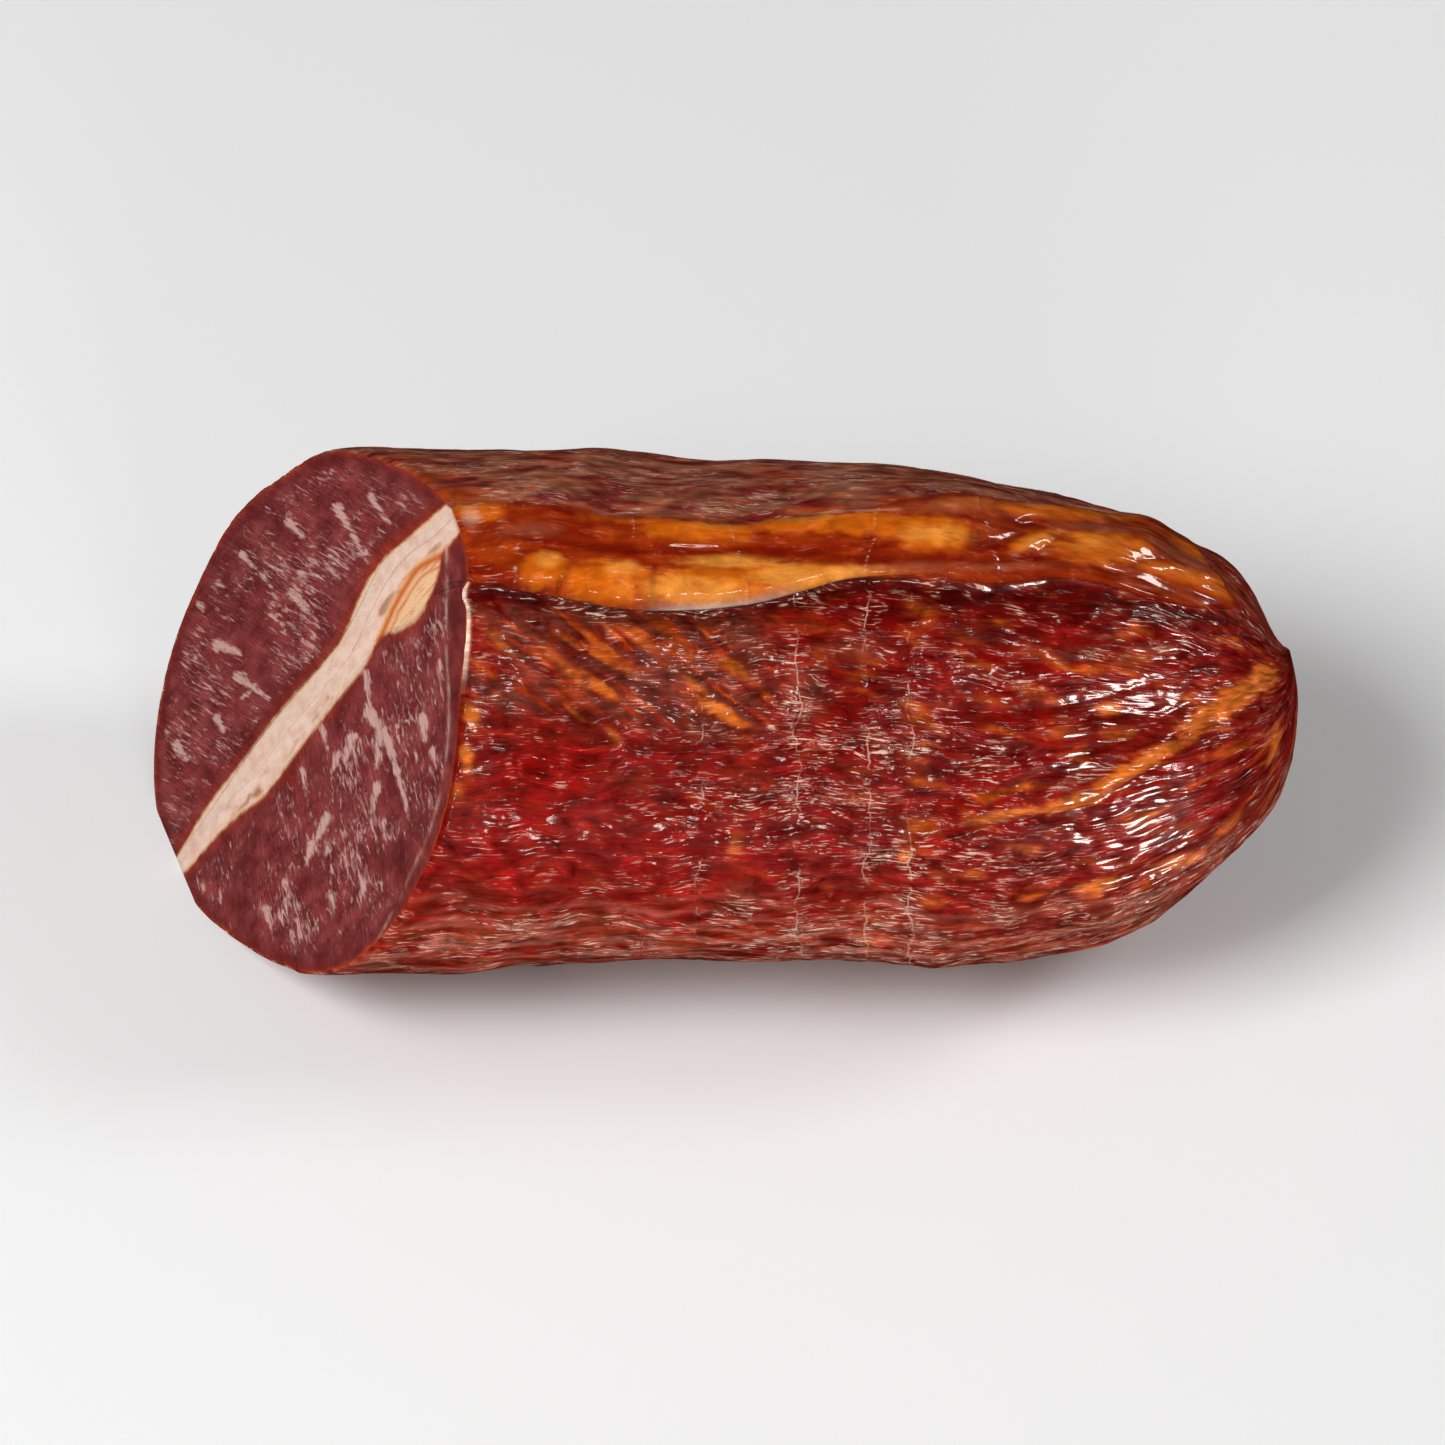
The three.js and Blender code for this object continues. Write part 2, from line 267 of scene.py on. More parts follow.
def place(s):
    """The x and the share of the radius at a way s along the skin."""
    share = np.where(s > JOIN_X, np.interp(s - JOIN_X, DOME_WAY, DOME_SHARES), 1)
    return np.where(s > JOIN_X, dome_x(share), s), share


def skin_at(s, angle, height=0.0):
    """A point of the skin, lifted off it by a height."""
    x, share = place(s)
    p = skin_point(x, angle, share)
    step = np.degrees(NORMAL_STEP / np.maximum(MEAN_RADIUS * share, 4))
    along_skin = skin_point(*spread(s + NORMAL_STEP, angle)) - skin_point(*spread(s - NORMAL_STEP, angle))
    round_skin = skin_point(x, angle + step, share) - skin_point(x, angle - step, share)
    n = np.cross(along_skin, round_skin)
    n = n / np.maximum(np.linalg.norm(n, axis=-1, keepdims=True), 1e-9)
    tip = np.array([1.0, 0, 0])
    n = mix(tip, n, smooth(share / 0.06)[..., None])
    return p + n * np.asarray(height)[..., None]


def spread(s, angle):
    x, share = place(np.minimum(s, END_S))
    return x, angle, share


def cut_x(p):
    return CUT_X + CUT_LEAN_UP * p[..., 2] + CUT_LEAN_BACK * p[..., 1]


def cut_edge_x(angle_of):
    """The x at which each line along the skin meets the cut; angle_of(x) gives its angle."""
    x = np.full_like(angle_of(0.0), CUT_X)
    for _ in range(EDGE_PASSES):
        x = cut_x(skin_point(x, angle_of(x)))
    return x


def strip_edge(x, side):
    """The angle of the front or back edge of the strip; both meet where the strip ends."""
    front, back = along(STRIP_FRONT, x), along(STRIP_BACK, x)
    own = front if side == "front" else back
    return mix((front + back) / 2, own, smooth((FAT_TIP_X - x) / 3))


def fat_face(x, up, side):
    """How far behind the axis the front or back face of the fat lies; up is a share of the radius."""
    share = dome_share(x)
    size = np.maximum(0.12, body_share(x) * share)
    front = FAT_FRONT_Y + sum(h * bell((up - at) / w) for at, w, h in (FAT_FRONT_BELLY, FAT_TONGUE))
    at, w, h = FAT_BACK_BULGE
    back = FAT_BACK_Y + FAT_BACK_WIDEN * smooth((up + 1) / 0.8) + h * bell((up - at) / w)
    closing = smooth((FAT_END_X - x) / FAT_CLOSING + 0.5)
    own = front if side == "front" else back
    inner = mix((front + back) / 2, own, closing) * size
    edge = along(STRIP_FRONT if side == "front" else STRIP_BACK, x)
    edge_up = np.sin(np.radians(edge))
    edge_y = -radius_at(x, edge, share) * np.cos(np.radians(edge))
    return axis_at(x, share)[0] + mix(inner, edge_y, smooth((up - edge_up + FLARE) / FLARE))


def under_angle(x, side):
    """The angle at which a face of the fat meets the underside, from -90 towards the back."""
    size = np.maximum(0.12, body_share(x) * dome_share(x))
    y = (fat_face(x, -1.0, side) - axis_at(x, dome_share(x))[0]) / size
    return -90 - np.degrees(y / MEAN_RADIUS)


# Colours, as read off the photo and set for the studio light.


def colour(r, g, b):
    c = np.array([r, g, b], float) / 255
    return np.where(c <= 0.04045, c / 12.92, ((c + 0.055) / 1.055) ** 2.4)


def tint(base, over, amount):
    amount = np.clip(amount, 0, 1)[..., None]
    return base * (1 - amount) + over * amount


def all_over(c, like):
    """One colour for every place of an array."""
    return np.broadcast_to(c, like.shape + (3,))


DEEP_RED = colour(108, 6, 3)
BRIGHT_RED = colour(132, 7, 3)
BLACK_RED = colour(62, 4, 3)
BROWN = colour(104, 26, 12)
GREY_BROWN = colour(122, 62, 44)
RUST = colour(160, 58, 14)
AMBER = colour(202, 98, 12)
GOLD = colour(226, 146, 58)
HONEY = colour(198, 100, 28)
TAWNY = colour(160, 56, 10)
OX_BLOOD = colour(116, 14, 4)
PINK = colour(186, 112, 90)
PALE = colour(222, 186, 164)
LEAN = colour(112, 35, 36)
LEAN_DARK = colour(84, 24, 27)
LEAN_LIGHT = colour(142, 66, 63)
MARBLE = colour(206, 166, 156)
CREAM = colour(228, 196, 178)
TONGUE = colour(232, 184, 140)
BRICK = colour(138, 42, 24)
TISSUE = colour(164, 104, 74)
MAUVE = colour(150, 82, 56)


class Skin:
    """Where points of the skin lie, for the functions that shape and paint it.

    s is the way along the skin, equal to x on the straight part. a is the way round it. rim is
    how far a point is from the cut. px, py is its place on the picture, and seen is 1 on the
    side that the picture shows.
    """

    def __init__(self, s, angle, rim):
        self.s, self.angle, self.rim = s, angle, rim
        self.x, self.share = place(s)
        self.a = np.radians(angle) * MEAN_RADIUS
        self.above, self.beyond, self.width = strip_place(self.x, angle)
        self.u = np.clip(self.above / np.maximum(self.width, 3), 0, 1)
        edge = 0.9 * noise(s / 3.1, s * 0 + 7.7, 5)
        shut = smooth((FAT_TIP_X + 1 - self.x) / 3)
        self.on_strip = smooth((self.above + 0.3) / 0.6) * smooth(0.5 - (self.beyond + edge) / 1.6) * shut
        p = skin_point(self.x, angle, self.share)
        self.px = PICTURE_MIDDLE[0] + p[..., 0] / MM_PER_PIXEL
        self.py = PICTURE_MIDDLE[1] - (p[..., 1] * LOOK_UP[0] + p[..., 2] * LOOK_UP[1]) / MM_PER_PIXEL
        self.seen = smooth((turn(angle, 50) + 96) / 8) * smooth((96 - turn(angle, 50)) / 8)


# Features that the picture shows, placed in its pixels.
# Patches: middle, half length, half width, tilt down to the right in degrees, strength.
AMBER_PATCHES = [
    (604, 688, 24, 6, 36, 0.8), (640, 640, 34, 8, 38, 0.5), (578, 678, 20, 7, 38, 0.6),
    (722, 712, 30, 8, 30, 1.0), (738, 672, 26, 7, 38, 0.7), (620, 664, 30, 6, 38, 0.5),
    (700, 690, 30, 6, 40, 0.6), (505, 645, 26, 7, 42, 0.5), (560, 660, 34, 6, 40, 0.5),
    (616, 736, 12, 6, 40, 0.6), (476, 716, 9, 16, -10, 0.8), (470, 757, 8, 18, -5, 0.9),
    (462, 790, 8, 14, 10, 0.5), (680, 650, 26, 6, 42, 0.4), (662, 628, 26, 9, 34, 0.45),
    (1104, 709, 15, 7, -8, 0.9), (1204, 716, 38, 13, -27, 1.0), (1232, 697, 34, 14, -30, 1.0),
    (1260, 680, 18, 16, -30, 1.0), (1272, 742, 7, 22, 12, 0.7), (1134, 765, 64, 9, -29, 1.1),
    (1070, 800, 44, 8, -12, 0.9), (1000, 814, 44, 6, -10, 0.8), (1092, 884, 26, 7, -12, 0.8),
    (1176, 862, 36, 7, -16, 0.7), (1225, 826, 26, 7, -38, 0.5), (902, 855, 9, 8, 0, 0.8),
    (1052, 733, 22, 8, -15, 0.45), (1128, 660, 26, 8, -5, 0.45), (960, 640, 24, 6, 20, 0.35),
    (980, 700, 22, 6, 10, 0.4), (1030, 655, 20, 7, 12, 0.3), (735, 845, 9, 16, 20, 0.5),
    (700, 800, 16, 6, 30, 0.3), (860, 770, 20, 6, 8, 0.3), (820, 655, 14, 14, 0, 0.35),
]  # fmt: skip
RED_PATCHES = [
    (500, 664, 34, 14, 36, 0.9), (560, 770, 70, 30, 20, 0.9), (520, 830, 60, 40, 0, 0.8),
    (660, 760, 40, 18, 15, 0.6), (640, 850, 60, 24, 10, 0.6), (900, 800, 60, 12, 0, 0.5),
    (1000, 720, 30, 14, 0, 0.5), (1140, 700, 22, 10, -20, 0.7), (1235, 740, 18, 14, -30, 0.6),
    (840, 720, 40, 14, 8, 0.5), (700, 600, 26, 5, 30, 0.6), (1180, 780, 36, 10, -32, 0.5),
]  # fmt: skip
# Darker patches of the casing; the row just under the strip is painted shadow of its lip.
DARK_AND_SHADOW_PATCHES = [
    (556, 640, 34, 9, 34, 0.9), (530, 602, 44, 7, 12, 0.9), (617, 676, 22, 6, 38, 0.7),
    (690, 612, 50, 7, 6, 0.8), (790, 606, 60, 7, 2, 0.8), (870, 610, 60, 10, 0, 0.8),
    (960, 604, 60, 14, 0, 0.8), (1060, 612, 60, 14, 0, 0.85), (1150, 618, 50, 10, 4, 0.8),
    (1000, 640, 40, 9, 5, 0.6), (1060, 770, 36, 9, -14, 0.7), (1110, 740, 40, 7, -22, 0.6),
    (760, 640, 30, 12, 30, 0.6), (820, 690, 16, 22, 0, 0.5), (885, 690, 14, 26, 0, 0.5),
    (1150, 800, 40, 9, -30, 0.6), (1230, 790, 22, 9, -40, 0.6), (940, 770, 50, 9, -4, 0.5),
    (660, 700, 26, 7, 30, 0.5), (580, 720, 26, 8, 30, 0.4),
]  # fmt: skip
# Patches of painted sheen, grey-brown with more pale lines, partly also the casing's dried grey.
SHEEN_PATCHES = [
    (610, 622, 44, 12, 16, 0.8), (740, 640, 34, 16, 30, 0.7), (1154, 648, 24, 6, 0, 1.0),
    (800, 690, 26, 34, 0, 0.6), (850, 650, 40, 14, 0, 0.5), (1075, 655, 30, 8, -6, 0.7),
    (480, 612, 26, 6, 40, 0.6), (520, 930, 60, 14, 4, 0.5), (600, 925, 60, 14, 2, 0.6),
    (740, 900, 22, 22, 0, 0.6), (1070, 780, 30, 8, -20, 0.4), (1000, 915, 60, 12, -8, 0.6),
    (1130, 905, 60, 12, -18, 0.7), (1220, 850, 34, 10, -42, 0.6), (860, 930, 70, 9, 0, 0.4),
]  # fmt: skip
# Where the casing is tight and mirrors the light in broad streaks.
TIGHT_PATCHES = [
    (1150, 806, 66, 30, -40, 1.0), (1196, 764, 34, 16, -40, 0.8), (955, 868, 20, 12, -20, 0.8),
    (1180, 585, 60, 14, 12, 0.9), (470, 880, 30, 10, 40, 0.5),
]  # fmt: skip
STRIP_AMBER = [
    (482, 512, 26, 12, 4, 0.8), (548, 569, 26, 13, 4, 1), (610, 580, 48, 16, 3, 1),
    (720, 582, 72, 15, -1, 1), (700, 531, 60, 14, 2, 0.85), (790, 523, 60, 12, -2, 0.85),
    (860, 525, 50, 12, 0, 0.9), (925, 535, 46, 17, 2, 1), (1030, 543, 28, 8, -20, 0.9),
    (1100, 550, 50, 17, 3, 1), (1060, 512, 90, 9, 3, 0.75), (1180, 575, 50, 9, 12, 0.9),
    (1190, 545, 30, 8, 28, 0.6), (640, 520, 60, 10, 3, 0.5), (800, 577, 60, 12, -3, 0.9),
    (960, 505, 40, 7, -2, 0.6), (1215, 590, 24, 7, 25, 0.6), (850, 575, 60, 9, -3, 0.7),
]  # fmt: skip
# Golden cores of the strip, partly the fat's colour and partly a painted glow of light through it.
STRIP_GOLD_AND_GLOW = [
    (552, 562, 14, 7, 0, 0.7), (625, 572, 18, 9, 0, 0.6), (690, 588, 60, 9, 0, 0.8),
    (730, 565, 50, 8, 0, 0.8), (790, 575, 40, 10, -4, 0.9), (720, 525, 30, 8, 0, 0.6),
    (800, 520, 40, 6, -2, 0.5), (930, 538, 34, 9, 0, 0.7), (840, 572, 40, 7, -4, 0.8),
    (1035, 543, 20, 6, -20, 0.7), (1090, 545, 24, 8, 0, 0.4), (470, 505, 14, 8, 0, 0.6),
]  # fmt: skip
STRIP_RED = [
    (600, 548, 60, 6, 3, 0.8), (680, 552, 60, 5, 0, 0.8), (790, 553, 50, 9, 0, 0.8),
    (811, 552, 14, 6, 0, 0.9), (860, 560, 60, 6, 0, 0.7), (867, 538, 6, 5, 0, 0.9),
    (490, 575, 30, 14, 10, 0.8), (560, 536, 50, 9, 4, 0.6), (1028, 524, 14, 5, -8, 0.9),
    (985, 548, 30, 6, -20, 0.7), (1000, 560, 50, 5, -4, 0.7), (1150, 560, 16, 8, 20, 0.4),
    (655, 577, 4, 12, 10, 0.5), (562, 583, 3, 7, 10, 0.6), (580, 520, 50, 9, 3, 0.5),
    (940, 560, 50, 5, 0, 0.6), (1240, 600, 18, 12, 40, 0.5),
]  # fmt: skip
STRIP_MAUVE = [
    (530, 533, 32, 8, 2, 0.6), (1096, 529, 48, 5, 4, 0.8), (945, 508, 40, 8, -3, 0.7),
    (1020, 503, 60, 5, 2, 0.5), (1185, 558, 44, 9, 24, 0.8), (900, 568, 60, 5, -2, 0.6),
    (1000, 569, 60, 4, -2, 0.6), (700, 604, 30, 5, 0, 0.5),
]  # fmt: skip
# Pale streaks on the strip, painted highlights along its lip and on its top.
STRIP_PALE_HIGHLIGHTS = [
    (690, 603, 34, 3, 0, 0.8), (740, 599, 50, 4, -4, 0.9), (790, 596, 30, 4, -5, 0.6),
    (830, 513, 60, 2, -2, 0.6), (475, 520, 9, 9, 0, 0.4), (1060, 500, 70, 2, 3, 0.6),
]  # fmt: skip
# Folds: points from left to right, half width in mm, height in mm; a crease has its height below 0.
FOLDS = [
    (
        [
            (850, 858), (930, 842), (1000, 822), (1080, 806),
            (1130, 780), (1190, 731), (1240, 696), (1272, 668),
        ],
        0.7, -0.45,
    ),
    (
        [
            (850, 846), (930, 829), (1000, 809), (1080, 792),
            (1130, 763), (1190, 714), (1240, 684), (1272, 662),
        ],
        1.6, 0.5,
    ),
    ([(690, 748), (760, 741), (830, 749), (900, 742), (960, 750)], 0.5, -0.4),
    ([(780, 800), (860, 812), (940, 800), (1010, 785), (1075, 757), (1130, 733), (1190, 700)], 0.6, -0.3),
    ([(1030, 898), (1080, 887), (1130, 874), (1190, 850), (1240, 806)], 0.6, -0.4),
    ([(1030, 884), (1080, 872), (1130, 860), (1190, 836), (1240, 792)], 1.5, 0.45),
    ([(700, 662), (760, 660), (830, 671), (900, 666)], 0.5, -0.3),
    ([(640, 700), (700, 722), (760, 737)], 0.6, -0.3),
    ([(980, 668), (1060, 662), (1140, 655), (1220, 652), (1272, 655)], 0.6, -0.35),
    ([(900, 705), (1000, 712), (1090, 700), (1180, 672), (1262, 656)], 0.6, -0.35),
    ([(500, 880), (600, 900), (720, 905), (860, 900), (1000, 880)], 0.8, -0.3),
]  # fmt: skip
# How much further out the piece reaches than the solids along the top and bottom of the
# picture: pixels from the left, mm.
TOP_TRIM = [
    (280, 0), (340, -0.5), (400, -0.5), (450, -0.9), (500, -0.4), (550, 0.1), (610, 0.3), (670, 0.1),
    (730, -1.1), (790, -1.6), (850, -1.5), (880, -1.1), (910, -0.8), (940, -0.4), (970, -0.3),
    (1000, -0.7), (1060, -0.4), (1120, -0.2), (1150, 0.2), (1180, -0.9), (1210, -1.2), (1240, 0), (1280, 0),
]  # fmt: skip
BOTTOM_TRIM = [
    (300, 0), (400, 0), (460, -0.6), (490, -0.9), (520, -0.9), (550, 0), (700, -0.3), (850, -0.8),
    (880, -1.5), (910, -1.2), (940, -0.4), (1000, -0.5), (1060, -0.7), (1110, -0.1), (1150, -0.6),
    (1180, -1.3), (1210, -1.6), (1240, -1.4), (1275, 0),
]  # fmt: skip
FIBRE_SLANT = 36  # degrees, down to the right
FIBRE_LEFT, FIBRE_RIGHT, FIBRE_TOP = 455, 800, 596
FIBRE_BOTTOM, FIBRE_BOTTOM_X, FIBRE_BOTTOM_SLOPE = 742, 600, 0.12
# Where the painted highlight along the right rim of the front loin starts and ends, in pixels down the
# picture.
RIM_HIGHLIGHT_TOP, RIM_HIGHLIGHT_BOTTOM = 530, 700
TRIM_WIDTHS = (36, 26)  # degrees


def patch_field(k, patches, ragged):
    """How strongly a list of patches colours each point, with ragged edges."""
    total = np.zeros_like(k.px)
    for px, py, long, wide, tilt_down, strength in patches:
        t = math.radians(tilt_down)
        dx, dy = k.px - px, k.py - py
        u = (dx * math.cos(t) + dy * math.sin(t)) / long
        v = (dy * math.cos(t) - dx * math.sin(t)) / wide
        total = np.maximum(total, strength * smooth((1.45 - np.hypot(u, v) + ragged) / 1.2))
    return total * k.seen


def fold_field(k):
    """Relief of the folds, in mm."""
    total = np.zeros_like(k.px)
    for points, half_width, height in FOLDS:
        line = along(points, k.px)
        first, last = points[0][0], points[-1][0]
        ends = smooth((k.px - first) / 30) * smooth((last + 12 - k.px) / 30)
        slope = (along(points, k.px + 4) - along(points, k.px - 4)) / 8
        off = (k.py - line) * MM_PER_PIXEL / np.sqrt(1 + slope * slope)
        total = total + height * ends * bell(off / half_width)
    return total * k.seen


def trim_field(k):
    top = along(TOP_TRIM, k.px) * bell(turn(k.angle, 140) / TRIM_WIDTHS[0])
    return top + along(BOTTOM_TRIM, k.px) * bell(turn(k.angle, -40) / TRIM_WIDTHS[1])


def fibre_sway(k):
    """How far the wrinkles wander from lines along the piece, in mm."""
    return 1.6 * noise(k.s / 17, k.a / 11, 3) + 0.7 * noise(k.s / 6, k.a / 5, 4)


def skin_relief(k):
    """Height of the wrinkles of the casing, in mm."""
    s, a, x = k.s, k.a, k.x
    gather = smooth((x - 22) / 40)
    sway = fibre_sway(k)
    long_folds = creases(s / 22, (a + sway) / 4.4, 11) + 0.6 * creases(s / 13, (a + sway) / 2.6, 12)
    fine_folds = creases(s / 8, (a + 0.6 * sway) / 1.9, 13)
    patch = smooth(0.5 + 0.9 * layered(s / 16, a / 10, 14, 2))
    dents = layered(s / 6.5, a / 4.5, 15, 3)
    lumps = layered(s / 15, a / 12, 16, 2)
    # The left part is smoother, and the underside has deeper furrows.
    calm = 1 - 0.65 * smooth((-18 - x) / 14)
    height = 0.34 * lumps + 0.22 * dents
    height = height - (0.14 + 0.32 * gather) * long_folds * (0.35 + 0.65 * patch) * calm
    height = height - (0.08 + 0.08 * gather) * fine_folds * patch * calm
    height = height - 0.26 * net_marks(k) + fold_field(k)
    strip = 0.22 * layered(s / 9, a / 6, 17, 2) + strip_bands(k) - 0.12 * long_folds * gather
    strip = strip + 0.2 * strip_threads(k)
    height = mix(height, strip, k.on_strip)
    back = 0.35 * lumps - 0.16 * long_folds - 0.1 * fine_folds
    behind = smooth(turn(k.angle, 100) / 30 + 0.5) * smooth((260 - k.angle) / 12)
    return mix(height, back, behind * (1 - k.on_strip) * (1 - gather)) + trim_field(k)


# Ways along the skin at which the net's rings left a mark, and how strong each mark is.
NET_RINGS = {-3.5: 0.5, 12: 1, 23: 0.9, 29.7: 0.5}
# Its marks along the piece: degrees round it, and where each starts and ends.
NET_LINES = [(41, 2, 38), (27, -10, 30), (12, 14, 60)]


def net_marks(k, half_width=0.5):
    """Marks that the net left: narrow rings round the piece, and a few lines along it."""
    wander = 0.9 * noise(k.a / 13, k.s * 0, 21)
    total = 0
    for at, strength in NET_RINGS.items():
        gaps = smooth(0.3 + 1.6 * noise(k.a / 8, k.a * 0 + at, 22))
        total = total + strength * gaps * bell((k.s - at - wander) / half_width)
    for at, start, end in NET_LINES:
        line = at + 1.2 * noise(k.s / 12, k.s * 0 + at, 23)
        reach = smooth((k.s - start) / 8) * smooth((end - k.s) / 8)
        total = total + 0.7 * reach * bell(turn(k.angle, line) * 0.72 / half_width)
    return total * (1 - k.on_strip)


def strip_bands(k):
    """Relief of the swollen lobes of fat in the strip, and of the sunken streaks between them."""
    ragged = 0.3 * layered(k.s / 5, k.a / 3, 65)
    return 0.5 * patch_field(k, STRIP_AMBER, ragged) - 0.45 * patch_field(k, STRIP_RED, ragged)


# Where each thin wrinkle crosses the strip, how far it leans and how far it bows.
STRIP_THREADS = [(-32.6, 1.5, 0.6), (-14.3, 0.3, 0.4), (3.9, -2.4, 1.4), (22.5, 2.7, 0.8), (44, -3.6, 1)]


def strip_threads(k):
    """Thin raised wrinkles that cross the strip."""
    total = 0
    for at, lean, bow in STRIP_THREADS:
        line = at + lean * k.u + bow * noise(k.u * 3, k.s * 0 + at, 33)
        total = total + bell((k.s - line) / 0.3) * smooth(0.6 + noise(k.u * 4, k.s * 0 + at, 34))
    return total


def slanting_fibres(k):
    """The part left of the middle where the fibres slant, and how light each fibre is."""
    t = math.radians(FIBRE_SLANT)
    down = (k.px * math.cos(t) + k.py * math.sin(t)) * MM_PER_PIXEL
    over = (k.py * math.cos(t) - k.px * math.sin(t)) * MM_PER_PIXEL
    bottom = FIBRE_BOTTOM + FIBRE_BOTTOM_SLOPE * (k.px - FIBRE_BOTTOM_X)
    lies = smooth((k.px - FIBRE_LEFT) / 50) * smooth((FIBRE_RIGHT - k.px) / 70)
    lies = lies * smooth((k.py - FIBRE_TOP) / 16) * smooth((bottom - k.py) / 40) * k.seen
    return lies, layered(down / 8, over / 1.3, 52), layered(down / 12, over / 2.8, 53)


def paint_front(k):
    s, a, x = k.s, k.a, k.x
    big, mid = layered(s / 15, a / 9, 41), layered(s / 6, a / 3, 42)
    sway = 2.5 * noise(s / 9, a / 7, 47)
    streak, fan = layered(s / 7, (a + sway) / 2.2, 43), layered(s / 9, (a + sway) / 3.6, 46)
    blot = layered(s / 3.5, a / 2.6, 48)
    ragged = 0.5 * layered(s / 5, a / 1.7, 45) + 0.3 * layered(s / 2, a / 1.2, 44)
    c = tint(all_over(DEEP_RED, s), BRIGHT_RED, 0.4 + 1.1 * big)
    c = tint(c, BROWN, 0.1 + 1.0 * mid)
    c = tint(c, BLACK_RED, 0.5 * smooth((0.5 * streak + 0.7 * blot) * 2.4 - 0.1))
    # Fat under the casing shows rust red, more towards the gathered end.
    right = smooth((x - 4) / 40)
    c = tint(c, RUST, smooth((fan - 0.1) * 4) * (0.15 + 0.45 * right))
    c = tint(c, AMBER, smooth((fan - 0.3) * 4) * 0.45 * right)
    lies, fibre, tuft = slanting_fibres(k)
    c = tint(c, BLACK_RED, lies * smooth(0.5 - 2.4 * fibre) * 0.75)
    c = tint(c, RUST, lies * smooth(2.6 * fibre + 1.4 * tuft) * 0.65)
    c = tint(c, HONEY, lies * smooth(2.4 * fibre + 2.4 * tuft - 0.75) * 0.6)
    c = tint(c, GREY_BROWN, lies * smooth(1.2 - 3 * tuft - 2 * fibre - 0.6) * 0.4)
    c = tint(c, BRIGHT_RED, patch_field(k, RED_PATCHES, ragged) * 0.75)
    # Darker patches, and painted shadow under the strip's lip.
    c = tint(c, BLACK_RED, patch_field(k, DARK_AND_SHADOW_PATCHES, ragged) * 0.75)
    # Painted sheen, partly the casing's dried grey: a grey-brown tint, and more pale highlight lines below.
    sheen = patch_field(k, SHEEN_PATCHES, ragged)
    c = tint(c, GREY_BROWN, sheen * 0.5)
    amber = patch_field(k, AMBER_PATCHES, ragged)
    c = tint(c, RUST, amber)
    c = tint(c, HONEY, smooth(amber * 1.5 - 0.35) * 0.9)
    # The pale fibrous underside; its pinkish tint is partly a painted reflection of the floor.
    low = smooth((10 - k.angle) / 30)
    c = tint(c, RUST, low * smooth(0.3 + 1.8 * layered(s / 14, a / 2.2, 49)) * 0.5)
    c = tint(c, PINK, low * smooth(0.2 + 2.4 * layered(s / 12, a / 2.0, 50)) * 0.45)
    # Painted shadow of the fat's lip, dark in the crease just below its edge.
    c = tint(c, BLACK_RED, 0.7 * bell((k.above + 2) / 2.4))
    # Painted shade: the front above the underside, short of the gathered end, is darker.
    deeper = smooth((k.angle - 5) / 25) * smooth((75 - x) / 30)
    c = c * (1 - 0.16 * deeper)[..., None]
    # Painted highlight: a thin pale line along the rim of the front loin's skin.
    rim_highlight = bell(k.rim / 0.3) * smooth((k.py - RIM_HIGHLIGHT_TOP) / 10)
    rim_highlight = rim_highlight * smooth((RIM_HIGHLIGHT_BOTTOM - k.py) / 50) * k.seen
    c = tint(c, PALE, rim_highlight * 0.9)
    # Thin pale lines, painted highlights along the wrinkles: more on the right, on the underside, in the
    # sheen and at the net's marks.
    pale = 0.22 + 0.15 * right + 0.45 * low + 0.8 * sheen
    pale = pale * smooth(0.6 + 1.5 * layered(s / 9, a / 7, 51)) + 0.6 * net_marks(k, 2.4)
    return c, pale


def paint_strip(k):
    s, a = k.s, k.a
    streak, fine = layered(s / 10, a / 1.6, 67), layered(s / 2.4, a / 1.4, 66)
    ragged = 0.35 * layered(s / 5, a / 2, 61) + 0.25 * fine
    c = tint(all_over(TAWNY, s), OX_BLOOD, 0.45 + 1.2 * layered(s / 8, a / 2.6, 62))
    c = tint(c, OX_BLOOD, patch_field(k, STRIP_RED, ragged) * 0.8)
    amber = patch_field(k, STRIP_AMBER, ragged)
    c = tint(c, RUST, smooth(amber * 1.5))
    c = tint(c, AMBER, smooth(amber * 1.3) * (0.85 + 0.3 * fine))
    # Golden cores, partly a painted glow of light through the fat.
    c = tint(c, GOLD, patch_field(k, STRIP_GOLD_AND_GLOW, ragged) * (0.95 + 0.4 * fine))
    c = tint(c, OX_BLOOD, patch_field(k, STRIP_RED, ragged) * 0.6)
    c = tint(c, TAWNY, smooth((streak - 0.2) * 5) * 0.5)
    c = tint(c, MAUVE, patch_field(k, STRIP_MAUVE, ragged) * 0.75)
    # Painted highlights along the strip's lip and on its top.
    c = tint(c, PALE, patch_field(k, STRIP_PALE_HIGHLIGHTS, ragged) * 0.85)
    c = tint(c, BROWN, bell((k.beyond + 0.4) / 1.2) * 0.5)
    c = tint(c, OX_BLOOD, bell(k.above / 1.6) * smooth((k.x - 30) / 20) * 0.6)
    lit_edge = smooth((k.x + 14) / 8) * smooth((14 - k.x) / 8)
    c = tint(c, PALE, lit_edge * bell((k.above - 1.0) / 0.7) * 0.6)
    # Thin pale lines, painted highlights on the threads across the strip and near the rim.
    return c, 0.12 + 0.7 * strip_threads(k) + 0.3 * bell(k.rim / 9)


